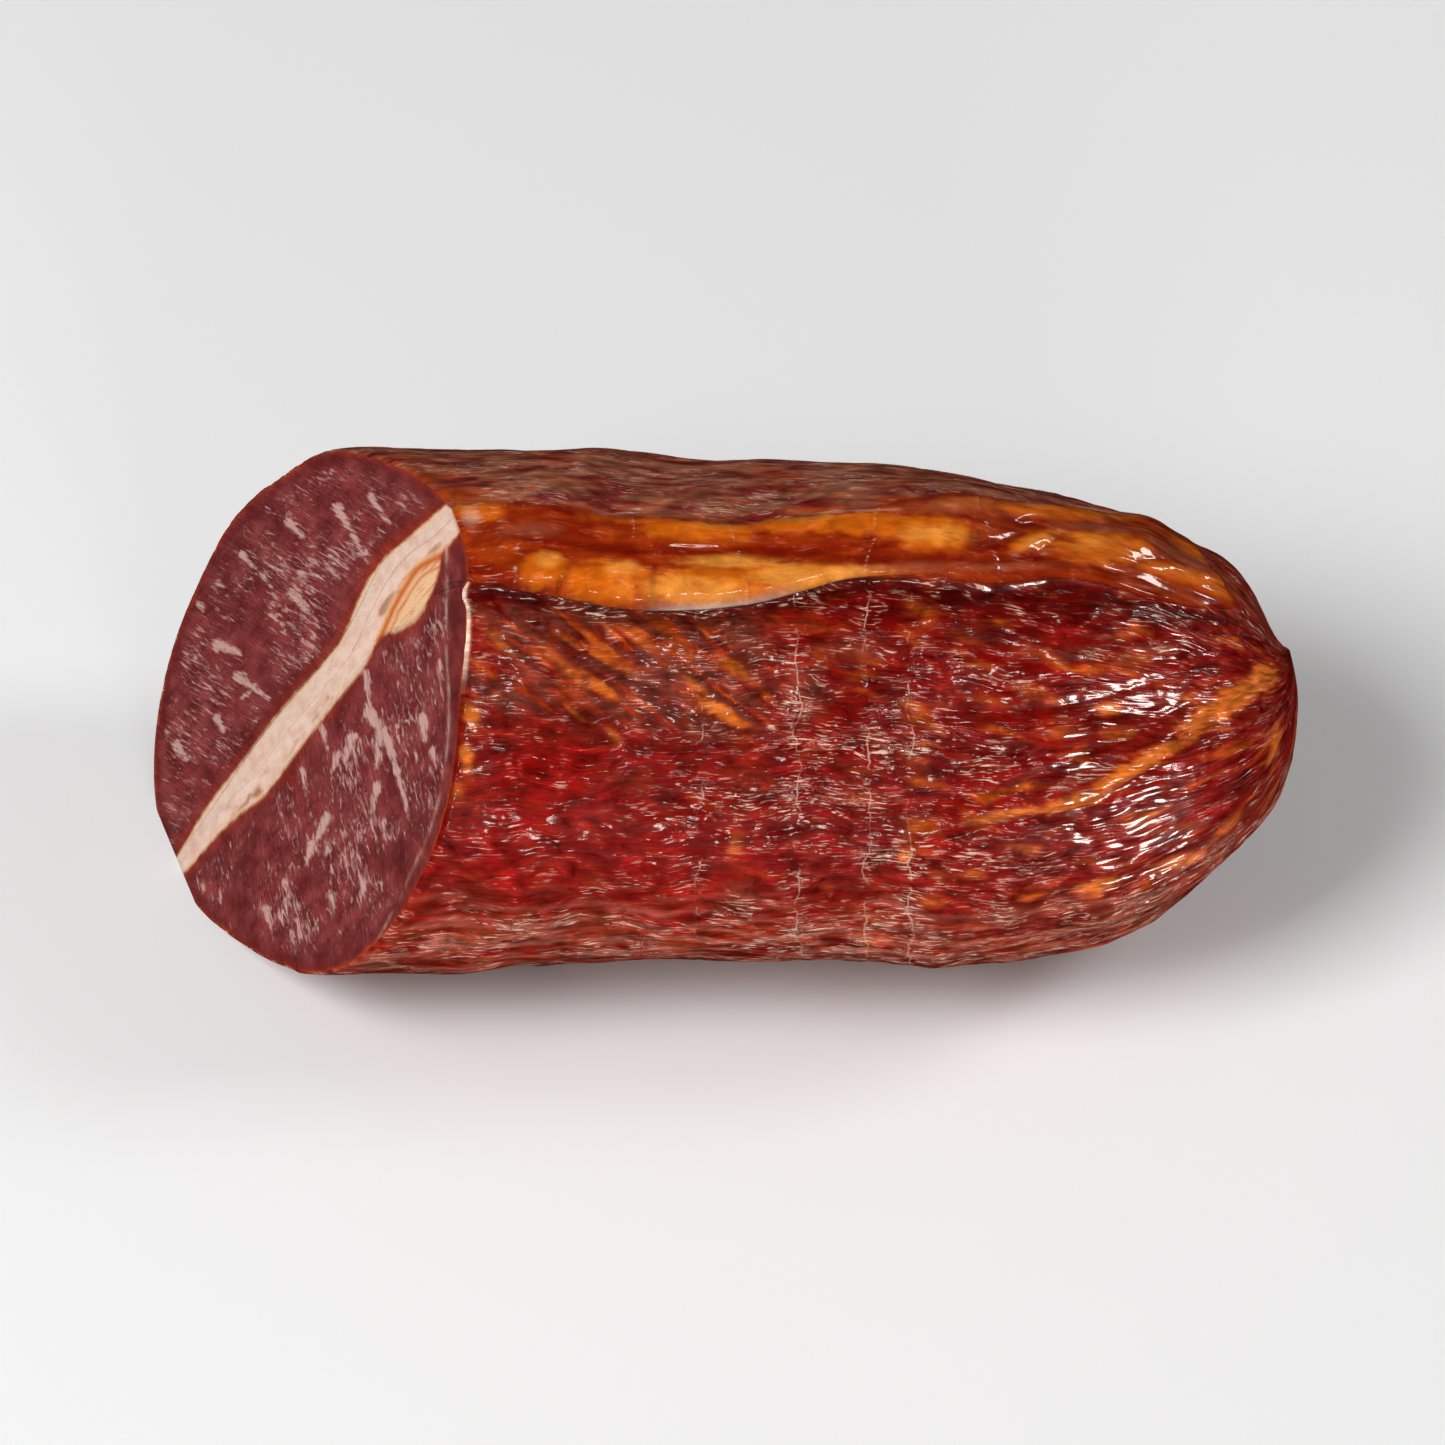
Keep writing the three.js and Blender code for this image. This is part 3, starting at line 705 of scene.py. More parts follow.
def paint_back(k):
    s, a, x = k.s, k.a, k.x
    sway = 3 * noise(s / 14, a / 9, 78)
    streak = layered(s / 12, (a + sway) / 2.4, 71)
    mid = layered(s / 8, a / 4, 72)
    c = tint(all_over(LEAN, s), BROWN, 0.5 + 0.9 * mid)
    c = tint(c, BLACK_RED, 0.5 * smooth(streak * 2.4 - 0.1))
    lit = 0.2 + 0.8 * smooth((165 - k.angle) / 40)
    c = tint(c, TISSUE, 0.7 * lit * smooth(0.6 + 1.4 * streak + 0.8 * mid))
    c = tint(c, DEEP_RED, (1 - 0.4 * lit) * smooth(0.3 - 0.3 * lit + 1.8 * layered(s / 18, a / 7, 73)))
    c = tint(c, RUST, smooth((layered(s / 16, a / 3.4, 74) - 0.16) * 5) * 0.7)
    at_rim = bell(k.rim / 9) * smooth((turn(k.angle, 125)) / -12 + 0.5)
    c = tint(c, RUST, at_rim * smooth(0.5 + 2 * streak))
    gather = smooth((x - 50) / 25)
    c = tint(c, AMBER, gather * smooth((layered(s / 13, a / 3.6, 75) - 0.15) * 5) * 0.6)
    c = tint(c, DEEP_RED, gather * 0.4)
    # The pinkish underside, partly a painted reflection of the floor.
    low = smooth((k.angle - 205) / 30)
    c = tint(c, PINK, low * smooth(0.2 + 2.2 * layered(s / 12, a / 1.3, 76)) * 0.5)
    # Thin pale lines, painted highlights along the wrinkles, more on the underside.
    pale = 0.65 * smooth(0.5 + 1.6 * layered(s / 12, a / 6, 77)) + 0.25 * low
    return c, pale


def paint_skin(k):
    """Colour of the skin, how many thin pale lines of painted highlight it has, how rough and how wrinkled
    it is.
    """
    front, front_highlight_lines = paint_front(k)
    strip, strip_highlight_lines = paint_strip(k)
    back, back_highlight_lines = paint_back(k)
    past_strip = smooth(turn(k.angle, 98) / 8 + 0.5)
    before_foot = smooth(turn(262, k.angle) / 16 + 0.5)
    behind = past_strip * np.where(turn(k.angle, 180) > -95, before_foot, 1)
    gather = smooth((k.x - 62) / 24)
    behind = behind * (1 - 0.6 * gather)
    c = tint(tint(front, back, behind), strip, k.on_strip)
    pale = mix(mix(front_highlight_lines, back_highlight_lines, behind), strip_highlight_lines, k.on_strip)
    low = smooth((5 - k.angle) / 30)
    rough = 0.34 + 0.16 * behind - 0.1 * k.on_strip + 0.1 * low
    wrinkled = mix(0.65 + 0.35 * smooth((k.x + 30) / 40), 0.25 + 0.5 * gather, k.on_strip)
    tight = patch_field(k, TIGHT_PATCHES, 0.3 * noise(k.s / 4, k.a / 3, 55))
    calm = smooth(0.45 + 1.7 * layered(k.s / 8, k.a / 6, 57))
    # The knot of the gathered end is plain and dark.
    to_tip = END_S - k.s
    pale = pale * smooth(to_tip / 16)
    wrinkled = wrinkled * smooth(to_tip / 16)
    c = tint(c, BLACK_RED, 0.75 * (1 - smooth(to_tip / 9)))
    wrinkled = wrinkled * (1 - 0.6 * tight) * (0.35 + 0.65 * calm)
    return c, np.clip(pale, 0, 1), rough, wrinkled


# The marbling of the cut. Places are on the picture plane: x, and the height up the picture.
FAT_VEINS = [
    # start x, start height, end x, end height, half width
    (-61.6, 32.2, -58.6, 27.6, 1.0), (-58.9, 27.8, -56.4, 23.4, 0.6),
    (-55.9, 33.8, -52.8, 29.4, 0.7), (-69.8, 30.0, -67.0, 27.4, 0.8),
    (-69.2, 18.6, -65.0, 14.2, 0.9), (-63.2, 23.0, -61.0, 20.6, 0.6),
    (-81.8, 10.4, -77.8, 9.0, 1.1), (-78.2, 5.2, -75.4, 3.2, 1.0),
    (-75.6, 3.4, -72.8, 1.6, 0.7), (-77.4, 1.8, -75.2, 3.4, 0.6),
    (-81.8, -1.6, -80.6, -3.8, 0.9), (-88.8, -6.0, -87.0, -8.4, 1.0),
    (-77.8, 25.0, -75.2, 22.6, 0.7), (-85.2, 17.2, -83.4, 15.6, 0.6),
    (-72.6, 15.2, -70.4, 13.4, 0.5), (-74.0, 21.6, -72.4, 19.6, 0.5),
    (-56.6, 5.8, -55.9, -1.0, 0.7), (-56.0, -0.6, -53.6, -4.2, 1.2),
    (-53.6, -3.6, -51.2, -10.0, 1.0), (-51.4, -9.6, -49.4, -16.8, 0.7),
    (-54.4, -3.8, -54.8, -9.4, 0.8), (-47.2, -1.6, -46.8, -5.2, 1.0),
    (-45.6, -6.4, -45.0, -9.4, 0.7), (-58.8, -4.6, -60.2, -8.4, 1.0),
    (-61.2, -7.2, -62.2, -10.2, 0.8), (-54.6, -12.4, -55.6, -16.4, 0.9),
    (-53.8, -18.0, -53.0, -21.4, 0.7), (-63.0, -17.4, -64.8, -21.2, 1.1),
    (-65.6, -21.6, -66.4, -25.0, 0.9), (-56.8, -27.0, -57.2, -30.6, 0.8),
    (-73.2, -32.2, -72.4, -35.0, 0.8), (-62.2, -29.6, -61.8, -32.6, 0.7),
    (-70.0, -27.8, -69.2, -30.4, 0.7), (-44.6, 7.4, -44.0, 4.0, 0.5),
    (-67.2, -9.8, -66.4, -13.8, 0.6), (-64.0, -2.8, -63.0, -6.4, 0.6),
]  # fmt: skip
PINK_VEINS = [
    (-69.8, -10.4, -68.0, -14.2, 0.6), (-69.6, -10.6, -66.6, -12.0, 0.4),
    (-57.6, 11.0, -56.8, 5.8, 0.5),
]  # fmt: skip
# On the cut: height above the axis, and how far back the edges of the white band and of the
# yellowish tongue beside it lie.
BAND_BACK = [
    (-41, 3.4), (-30, 5.3), (-19, 5.9), (-8, 6.6), (3, 6.2), (10, 6.6), (17.5, 9.7),
    (25, 10.7), (32, 9.4), (41, 8.1),
]  # fmt: skip
BAND_FRONT = [
    (-41, -0.4), (-28, -0.8), (-18.5, -2.6), (-7.4, -1.9), (3.6, -1.3), (12, -1),
    (18, 1.2), (24, 3.3), (30, 4.2), (36, 2.2), (41, 1.8),
]  # fmt: skip
TONGUE_EDGE = [(13, 0.6), (18.4, 0.0), (20.5, -1.5), (26.4, -3.1), (33, -0.4), (36, 2.2), (41, 3)]
TONGUE_RANGE = (15, 37)
# Brown spots in the band: how far back, how high, half height, half width.
BAND_SPOTS = [(3.3, 33.4, 3.2, 1.0), (3.8, 27.2, 3.0, 1.0), (3.7, 21.5, 3.0, 1.1)]
FIBRE_TILTS = (-78, -32)  # of the front and the back loin's flecks, on the picture
# The pale line near the rim of the front loin: x, and height up the picture.
PALE_LINE = [(-54.5, -36.8), (-50, -28), (-45.6, -18), (-43.4, -8), (-42.9, 1), (-43.4, 9)]


def vein_field(x, h, veins, wobble):
    """How far inside a vein each point is, in mm, and below 0 outside."""
    best = np.full(x.shape, -9.0)
    for x0, h0, x1, h1, half in veins:
        dx, dh = x1 - x0, h1 - h0
        t = np.clip(((x - x0) * dx + (h - h0) * dh) / (dx * dx + dh * dh), 0, 1)
        gap = np.hypot(x - x0 - t * dx, h - h0 - t * dh)
        best = np.maximum(best, half * (1 - 0.55 * t) - gap)
    return best + wobble


def band_field(y, z):
    """How far inside the white band each point of the cut is."""
    return np.minimum(y - along(BAND_FRONT, z), along(BAND_BACK, z) - y)


def tongue_field(y, z):
    inside = np.minimum(y - along(TONGUE_EDGE, z), along(BAND_FRONT, z) + 0.4 - y)
    return np.where((z > TONGUE_RANGE[0]) & (z < TONGUE_RANGE[1]), inside, -9)


def paint_band(y, z, band):
    """The white fat: warm at its edges, with brown tissue along its front side."""
    cream = tint(all_over(CREAM, y), PINK, 0.1 + 0.5 * layered(y / 2.4, z / 2.4, 86))
    tissue = bell((y - along(BAND_FRONT, z) - 1.4) / 1.5) * smooth(0.2 + 1.8 * layered(y / 2.2, z / 3.4, 87))
    tissue = tissue * np.maximum(bell((z + 20) / 14), 0.8 * bell((z - 1) / 5))
    cream = tint(cream, TISSUE, tissue * 0.95)
    for at_y, at_z, long, wide in BAND_SPOTS:
        spot = 1.2 - np.hypot((y - at_y) / wide, (z - at_z) / long) + 0.3 * layered(y / 1.5, z / 1.5, 89)
        cream = tint(cream, TISSUE, smooth(spot * 1.6) * 0.8)
    return tint(cream, TONGUE, bell(band / 0.8) * 0.8)


def paint_lean(x, y, z, h):
    """The muscle on the cut."""
    mottle, coarse = layered(y / 5, z / 5, 82), layered(y / 13, z / 13, 83)
    fibre = layered(y / 1.2, z / 6, 90)
    c = tint(all_over(LEAN, x), LEAN_LIGHT, 0.35 + 0.7 * mottle + 0.3 * coarse)
    c = tint(c, LEAN_DARK, 0.15 + 0.8 * coarse - 0.5 * mottle)
    c = tint(c, LEAN_DARK, 0.5 * smooth(2 * fibre))
    return tint(c, BRICK, smooth(vein_field(x, h, PINK_VEINS, 0.2 * mottle) / 0.8 + 0.5) * 0.5)


def paint_cut(p, gap):
    """Colour of the cut; fields for the flecks, for their number, for fat; and the fibres' flow.

    gap is how far each point is from the rim.
    """
    x, y, z = p[..., 0], p[..., 1], p[..., 2]
    h = y * LOOK_UP[0] + z * LOOK_UP[1]
    ragged = 0.3 * layered(y / 1.6, z / 1.6, 81, 2)
    band, tongue = band_field(y, z) + ragged, tongue_field(y, z) + ragged
    behind = y > (along(BAND_FRONT, z) + along(BAND_BACK, z)) / 2
    c = paint_lean(x, y, z, h)
    # Brick red round the fat, most on the side of the back loin.
    off = -np.maximum(band, tongue)
    halo = np.where(behind, bell(off / 1.8) * (0.55 + 0.5 * smooth((z + 5) / 20)), 0.7 * bell(off / 1.3))
    c = tint(c, BRICK, np.where(off > -0.3, halo, 0))
    c = tint(c, paint_band(y, z, band), smooth(band / 0.9 + 0.4))
    amber = tint(all_over(TONGUE, x), RUST, smooth((layered(y / 0.7, z / 7, 88) - 0.15) * 4) * 0.5)
    near_band = along(BAND_FRONT, z) - y
    amber = tint(amber, HONEY, bell((near_band - 0.5) / 0.7) + 0.7 * bell((near_band - 2.2) / 0.35))
    c = tint(c, amber, smooth(tongue / 1.1 + 0.4))
    # Darker and browner under the casing, and calmer past the pale line.
    on_fat = smooth(np.maximum(band, tongue) / 0.5 + 0.3)
    crust = 1 + 0.8 * layered(y / 4, z / 4, 93)
    c = tint(c, LEAN_DARK, bell(gap / (2.2 * crust)) * 0.6 * (1 - on_fat))
    c = tint(c, BRICK, bell(gap / (1.0 * crust)) * 0.5 * (1 - on_fat))
    c = tint(c, RUST, bell(gap / (0.4 * crust)) * smooth(0.4 + 1.6 * layered(y / 9, z / 9, 94)) * 0.8)
    line = x - along([(h0, x0) for x0, h0 in PALE_LINE], h)
    broken = smooth(0.6 + 1.4 * layered(y / 4, z / 4, 95))
    c = tint(c, PALE, 0.4 * broken * bell(line / 0.24) * (1 - on_fat) * ~behind)
    veins = vein_field(x, h, FAT_VEINS, 0.3 * layered(x / 1.1, h / 1.1, 84, 2))
    calm = smooth(line / 1.5) * ~behind
    density = (0.5 + 0.6 * layered(x / 9, h / 9, 85, 2)) * smooth((gap - 1) / 3)
    density = density * (1 - 0.8 * calm) * smooth((off - 0.8) / 2.0)
    tilt_down = np.radians(np.where(behind, FIBRE_TILTS[1], FIBRE_TILTS[0]))
    flow_along = x * np.cos(tilt_down) + h * np.sin(tilt_down)
    flow_across = h * np.cos(tilt_down) - x * np.sin(tilt_down)
    flow = np.stack([flow_along, flow_across, np.where(behind, 30.0, 60.0)], -1)
    return c, smooth(veins / 1.6 + 0.5), np.clip(density, 0, 1), on_fat, flow


# Meshes.


def skin_ways(starts, fineness=1, end_x=None):
    """Ways along the skin for each column, closer together at the cut, and the last ones shared."""
    step = np.linspace(0, 1, BODY_ROWS * fineness, endpoint=False)[:, None]
    step = step * (1 - 0.75 * (1 - step) ** 14)
    body = mix(starts[None, :], JOIN_X, step)
    dome = np.linspace(JOIN_X, END_S, DOME_ROWS * fineness + 1)
    if end_x is not None:
        last = JOIN_X + np.interp(-dome_share(end_x), -DOME_SHARES, DOME_WAY)
        dome = np.append(dome[dome < last - 0.1], last)
    return np.concatenate([body, dome[:, None] + 0 * starts[None, :]])


def rim_dip(rim):
    """How far the skin dips towards the cut, so that the rim is round."""
    t = np.clip(1 - rim / RIM_WIDTH, 0, 1)
    return RIM_ROUND * (1 - np.sqrt(1 - t * t))


def on_cut(points, rim):
    """Keeps the rim on the cut, and lets the next rows follow it less and less."""
    follow = np.where(rim > 2, 0, np.exp(-rim / 0.6))
    points[..., 0] += (cut_x(points) - points[..., 0]) * np.where(rim <= 0, 1, 0)
    gap = points[..., 0] - cut_x(points)
    points[..., 0] += np.where((gap < 0.02 * rim), (0.02 * rim - gap), 0) * follow
    return points


def skin_grid(angle_of, fineness=1, end_x=None, lip=False):
    """Rows along the skin and columns round it, with the Skin that says where they are."""
    starts = cut_edge_x(angle_of)
    s = skin_ways(starts, fineness, end_x)
    angle = np.stack([angle_of(place(row)[0]) for row in s])
    where = Skin(s, angle, s - s[0])
    height = skin_relief(where) * smooth(where.share / 0.08) - rim_dip(where.rim)
    shift = 0
    if lip:
        out, shift = lip_curl(where)
        height = height + out
    points = skin_at(s, angle + shift, height)
    return on_cut(points, where.rim), where


def rest_on_floor(points):
    """Flattens what would pass through the floor, and keeps it behind the cut."""
    points[..., 2] = np.maximum(points[..., 2], -AXIS[2])
    low = points[..., 2] < 0.5 - AXIS[2]
    points[..., 0] = np.where(low, np.maximum(points[..., 0], cut_x(points)), points[..., 0])
    return points


def lip_curl(k):
    """How the front edge of the fat swells out, and how many degrees it hangs over the crease."""
    way = np.clip(k.above, 0, None) * MEAN_RADIUS * math.pi / 180
    strength = smooth((k.width - 1) / 6) * ridge_fade(k.x)
    hang = smooth(way / LIP_ROUND) * (1 - smooth((way - LIP_ROUND) / LIP_REACH))
    swell = 0.35 * smooth(way / (2 * LIP_ROUND)) * (1 - smooth((way - LIP_ROUND) / LIP_REACH))
    return swell * strength, -np.degrees(along(LIP_HANG, k.x) * hang / MEAN_RADIUS) * strength


class Mesh:
    """Collects grids of points with their colours, then becomes one closed mesh.

    Colours and places for the noise are kept for each corner, so they can change at an edge.
    """

    def __init__(self):
        self.points, self.quads, self.values, self.kinds = [], [], [], []
        self.count = 0

    def grid(self, points, values, kind, flip=False):
        rows, columns = points.shape[:2]
        index = self.count + np.arange(rows * columns).reshape(rows, columns)
        a, b, c, d = index[:-1, :-1], index[:-1, 1:], index[1:, 1:], index[1:, :-1]
        quads = np.stack([a, d, c, b] if flip else [a, b, c, d], -1).reshape(-1, 4)
        self.quads.append(quads)
        self.kinds.append(np.full(len(quads), kind))
        self.points.append(rest_on_floor(points.copy()).reshape(-1, 3))
        self.values.append({name: data.reshape(rows * columns, -1) for name, data in values.items()})
        self.count += rows * columns

    def make(self, name, materials):
        points, quads, kinds = (np.concatenate(part) for part in (self.points, self.quads, self.kinds))
        values = {key: np.concatenate([v[key] for v in self.values]) for key in self.values[0]}
        # One point for each place, so that the grids join into one closed skin.
        key = np.round(points / WELD).astype(np.int64)
        _, first, same = np.unique(key, axis=0, return_index=True, return_inverse=True)
        merged = same.reshape(-1)[quads]
        new = merged != np.roll(merged, 1, axis=1)
        sides = new.sum(axis=1)
        folded = (merged[:, 0] == merged[:, 2]) | (merged[:, 1] == merged[:, 3])
        keep = (sides > 2) & ~folded
        new, sides, kinds = new[keep], sides[keep], kinds[keep]
        loops, sources = merged[keep][new], quads[keep][new]
        mesh = bpy.data.meshes.new(name)
        world = (points[first] + np.array(AXIS)) * MM
        mesh.vertices.add(len(world))
        mesh.vertices.foreach_set("co", world.ravel())
        mesh.loops.add(len(loops))
        mesh.loops.foreach_set("vertex_index", loops)
        mesh.polygons.add(len(sides))
        mesh.polygons.foreach_set("loop_start", np.concatenate([[0], np.cumsum(sides)[:-1]]))
        mesh.polygons.foreach_set("material_index", kinds)
        mesh.update(calc_edges=True)
        for key, data in values.items():
            kind, field = (("FLOAT_VECTOR", "vector"), ("FLOAT_COLOR", "color"))[data.shape[1] == 4]
            attribute = mesh.attributes.new(key, kind, "CORNER")
            attribute.data.foreach_set(field, data[sources].astype(np.float32).ravel())
        mesh.polygons.foreach_set("use_smooth", np.ones(len(sides), bool))
        mesh.validate()
        piece = bpy.data.objects.new(name, mesh)
        bpy.context.scene.collection.objects.link(piece)
        for material in materials:
            mesh.materials.append(material)
        return piece


SKIN, CUT = 0, 1  # material slots


def rgba(c):
    return np.concatenate([np.clip(c, 0, 1), np.ones(c.shape[:-1] + (1,))], -1)


def skin_values(k):
    c, pale, rough, wrinkled = paint_skin(k)
    return {
        "paint": rgba(c),
        "flow": np.stack([k.s, k.a + fibre_sway(k), smooth((k.x - 22) / 40)], -1),
        "marks": rgba(np.stack([pale, rough, wrinkled], -1)),
    }


def cut_values(p, gap):
    c, fleck, density, fat, flow = paint_cut(p, gap)
    return {"paint": rgba(c), "flow": flow, "marks": rgba(np.stack([fleck, density, fat], -1))}


def plain_values(points):
    paint = rgba(all_over(LEAN, points[..., 0]))
    return {"paint": paint, "flow": points, "marks": rgba(np.zeros(points.shape))}


def cut_relief(points, edge):
    """Low unevenness of the cut, dying out at its edges."""
    y, z = points[..., 1], points[..., 2]
    uneven = 0.16 * layered(y / 7, z / 7, 91) + 0.07 * layered(y / 2.2, z / 2.2, 92, 2)
    ledge = 0.14 * smooth(band_field(y, z) / 0.8 + 0.5)
    points[..., 0] = cut_x(points) + (uneven - ledge) * smooth(edge / 4)
    return points


def seam_on_cut(side):
    """Where a face of the fat meets the cut, from the strip down to the underside."""
    top = rim_point(lambda x: strip_edge(x, side) + np.zeros(1))
    foot = rim_point(lambda x: under_angle(x, side) + np.zeros(1))
    z = np.linspace(top[2], foot[2], SEAM_SAMPLES)
    y = np.linspace(top[1], foot[1], SEAM_SAMPLES)
    for _ in range(SEAM_PASSES):
        x = CUT_X + CUT_LEAN_UP * z + CUT_LEAN_BACK * y
        y = fat_face(x, z / (MEAN_RADIUS * body_share(x)), side)
    y[0], y[-1] = top[1], foot[1]
    return resample(np.stack([CUT_X + CUT_LEAN_UP * z + CUT_LEAN_BACK * y, y, z], -1), SEAM_POINTS)


def rim_point(angle_of):
    x = cut_edge_x(angle_of)
    return skin_point(x, angle_of(x))[0]


def resample(curve, count):
    way = np.concatenate([[0], np.cumsum(np.linalg.norm(np.diff(curve, axis=0), axis=1))])
    even = np.linspace(0, way[-1], count)
    return np.stack([np.interp(even, way, curve[:, i]) for i in range(3)], -1)


def pin_ends(curve, first, last):
    """Moves a curve a little so that it starts and ends exactly at two points."""
    t = np.linspace(0, 1, len(curve))[:, None]
    return curve + (first - curve[0]) * (1 - t) ** 8 + (last - curve[-1]) * t**8


def wall_grid(loop, side):
    """An inner face of a piece, from its edge all round to its middle."""
    centre = np.array([loop[:, 0].mean(), 0, loop[:, 2].mean()])
    rings = []
    for share in WALL_RINGS:
        ring = mix(loop, centre, share)
        if share > 0:
            x = np.clip(ring[:, 0], -100, 88)
            height = MEAN_RADIUS * np.maximum(0.05, body_share(x) * dome_share(x))
            up = np.clip((ring[:, 2] - axis_at(x, dome_share(x))[1]) / height, -1, 1)
            ring[:, 1] = mix(ring[:, 1], fat_face(x, up, side), smooth(share / 0.15))
        if share == 1:
            ring[:] = ring.mean(axis=0)
        rings.append(ring)
    return np.stack(rings)


def add_wall(mesh, loop, side, flip):
    wall = wall_grid(loop, side)
    mesh.grid(wall, plain_values(wall), CUT, flip)


def side_piece(name, side, materials):
    """A loin: its skin from the strip round to the underside, its part of the cut, its inner face."""
    front = side == "front"
    round_share = np.linspace(0, 1, SEAM_POINTS)
    round_share = round_share * (1 - 0.55 * (1 - round_share) ** 16)

    def angle_of(x):
        x = np.asarray(x) + 0 * round_share
        foot = under_angle(x, side) + (0 if front else 360)
        return mix(strip_edge(x, side), foot, round_share)

    skin, where = skin_grid(angle_of)
    rim = skin[0]
    seam = pin_ends(seam_on_cut(side), rim[0], rim[-1])
    t = np.linspace(0, 1, FACE_COLUMNS + 1)[:, None]
    face = seam[None] * (1 - t[..., None]) + rim[None] * t[..., None]
    edge = np.minimum(t, 1 - t) * np.linalg.norm(rim - seam, axis=-1)[None]
    face = cut_relief(face, edge)
    mesh = Mesh()
    mesh.grid(skin, skin_values(where), SKIN, flip=not front)
    gap = (1 - t) * np.linalg.norm(rim - seam, axis=-1)[None]
    mesh.grid(face, cut_values(face, gap), CUT, flip=not front)
    loop = np.concatenate([skin[:, 0], skin[-2::-1, -1], seam[-2::-1]])
    add_wall(mesh, loop, side, flip=front)
    return mesh.make(name, materials)


def fat_piece(name, materials):
    """The layer of fat: the strip on top, the band across the cut, its foot and both its faces."""
    across = np.linspace(0, 1, STRIP_COLUMNS + 1)
    across_strip = across * (1 - 0.6 * (1 - across) ** 10)

    def top_angle(x):
        x = np.asarray(x) + 0 * across_strip
        return mix(strip_edge(x, "front"), strip_edge(x, "back"), across_strip)

    def foot_angle(x):
        x = np.asarray(x) + 0 * across
        return mix(under_angle(x, "front"), under_angle(x, "back"), across)

    top, top_where = skin_grid(top_angle, STRIP_FINENESS, FAT_TIP_X, lip=True)
    foot, foot_where = skin_grid(foot_angle, 1, FAT_TIP_X)
    t, b = top[0], foot[0]
    left = pin_ends(seam_on_cut("front"), t[0], b[0])
    right = pin_ends(seam_on_cut("back"), t[-1], b[-1])
    v = np.linspace(0, 1, SEAM_POINTS)[:, None, None]
    u = across[None, :, None]
    corners = (1 - v) * ((1 - u) * t[0] + u * t[-1]) + v * ((1 - u) * b[0] + u * b[-1])
    face = (1 - v) * t[None] + v * b[None] + (1 - u) * left[:, None] + u * right[:, None] - corners
    wide = np.linalg.norm(right - left, axis=-1)[:, None]
    edge = np.minimum(np.minimum(u, 1 - u)[..., 0] * wide, np.minimum(v, 1 - v)[..., 0] * BAND_LENGTH)
    face = cut_relief(face, edge)
    mesh = Mesh()
    mesh.grid(top, skin_values(top_where), SKIN, flip=True)
    mesh.grid(foot, skin_values(foot_where), SKIN, flip=False)
    gap = np.minimum(v, 1 - v)[..., 0] * BAND_LENGTH + 0 * u[..., 0]
    mesh.grid(face, cut_values(face, gap), CUT, flip=False)
    end = fat_end(top[-1].mean(axis=0), foot[-1].mean(axis=0))
    for side, column, seam in (("front", 0, left), ("back", -1, right)):
        loop = np.concatenate([top[:, column], end[1:-1], foot[::-1, column], seam[-2::-1]])
        add_wall(mesh, loop, side, flip=side == "back")
    return mesh.make(name, materials)


def fat_end(top, foot):
    """The line inside the piece where both faces of the fat meet."""
    z = np.linspace(top[2], foot[2], END_POINTS)
    x = np.linspace(top[0], foot[0], END_POINTS)
    share = dome_share(FAT_TIP_X)
    up = (z - axis_at(FAT_TIP_X, share)[1]) / (MEAN_RADIUS * share)
    inside = fat_face(FAT_TIP_X + 0 * z, np.clip(up, -1, 0.5), "front")
    y = mix(np.linspace(top[1], foot[1], END_POINTS), inside, 0.5)
    y[0], y[-1] = top[1], foot[1]
    return np.stack([x, y, z], -1)


# Materials.

# How far red, green and blue light spread under the surface, as shares of the red.
SKIN_SCATTER = (1.0, 0.35, 0.2)
CUT_SCATTER = (1.0, 0.4, 0.28)


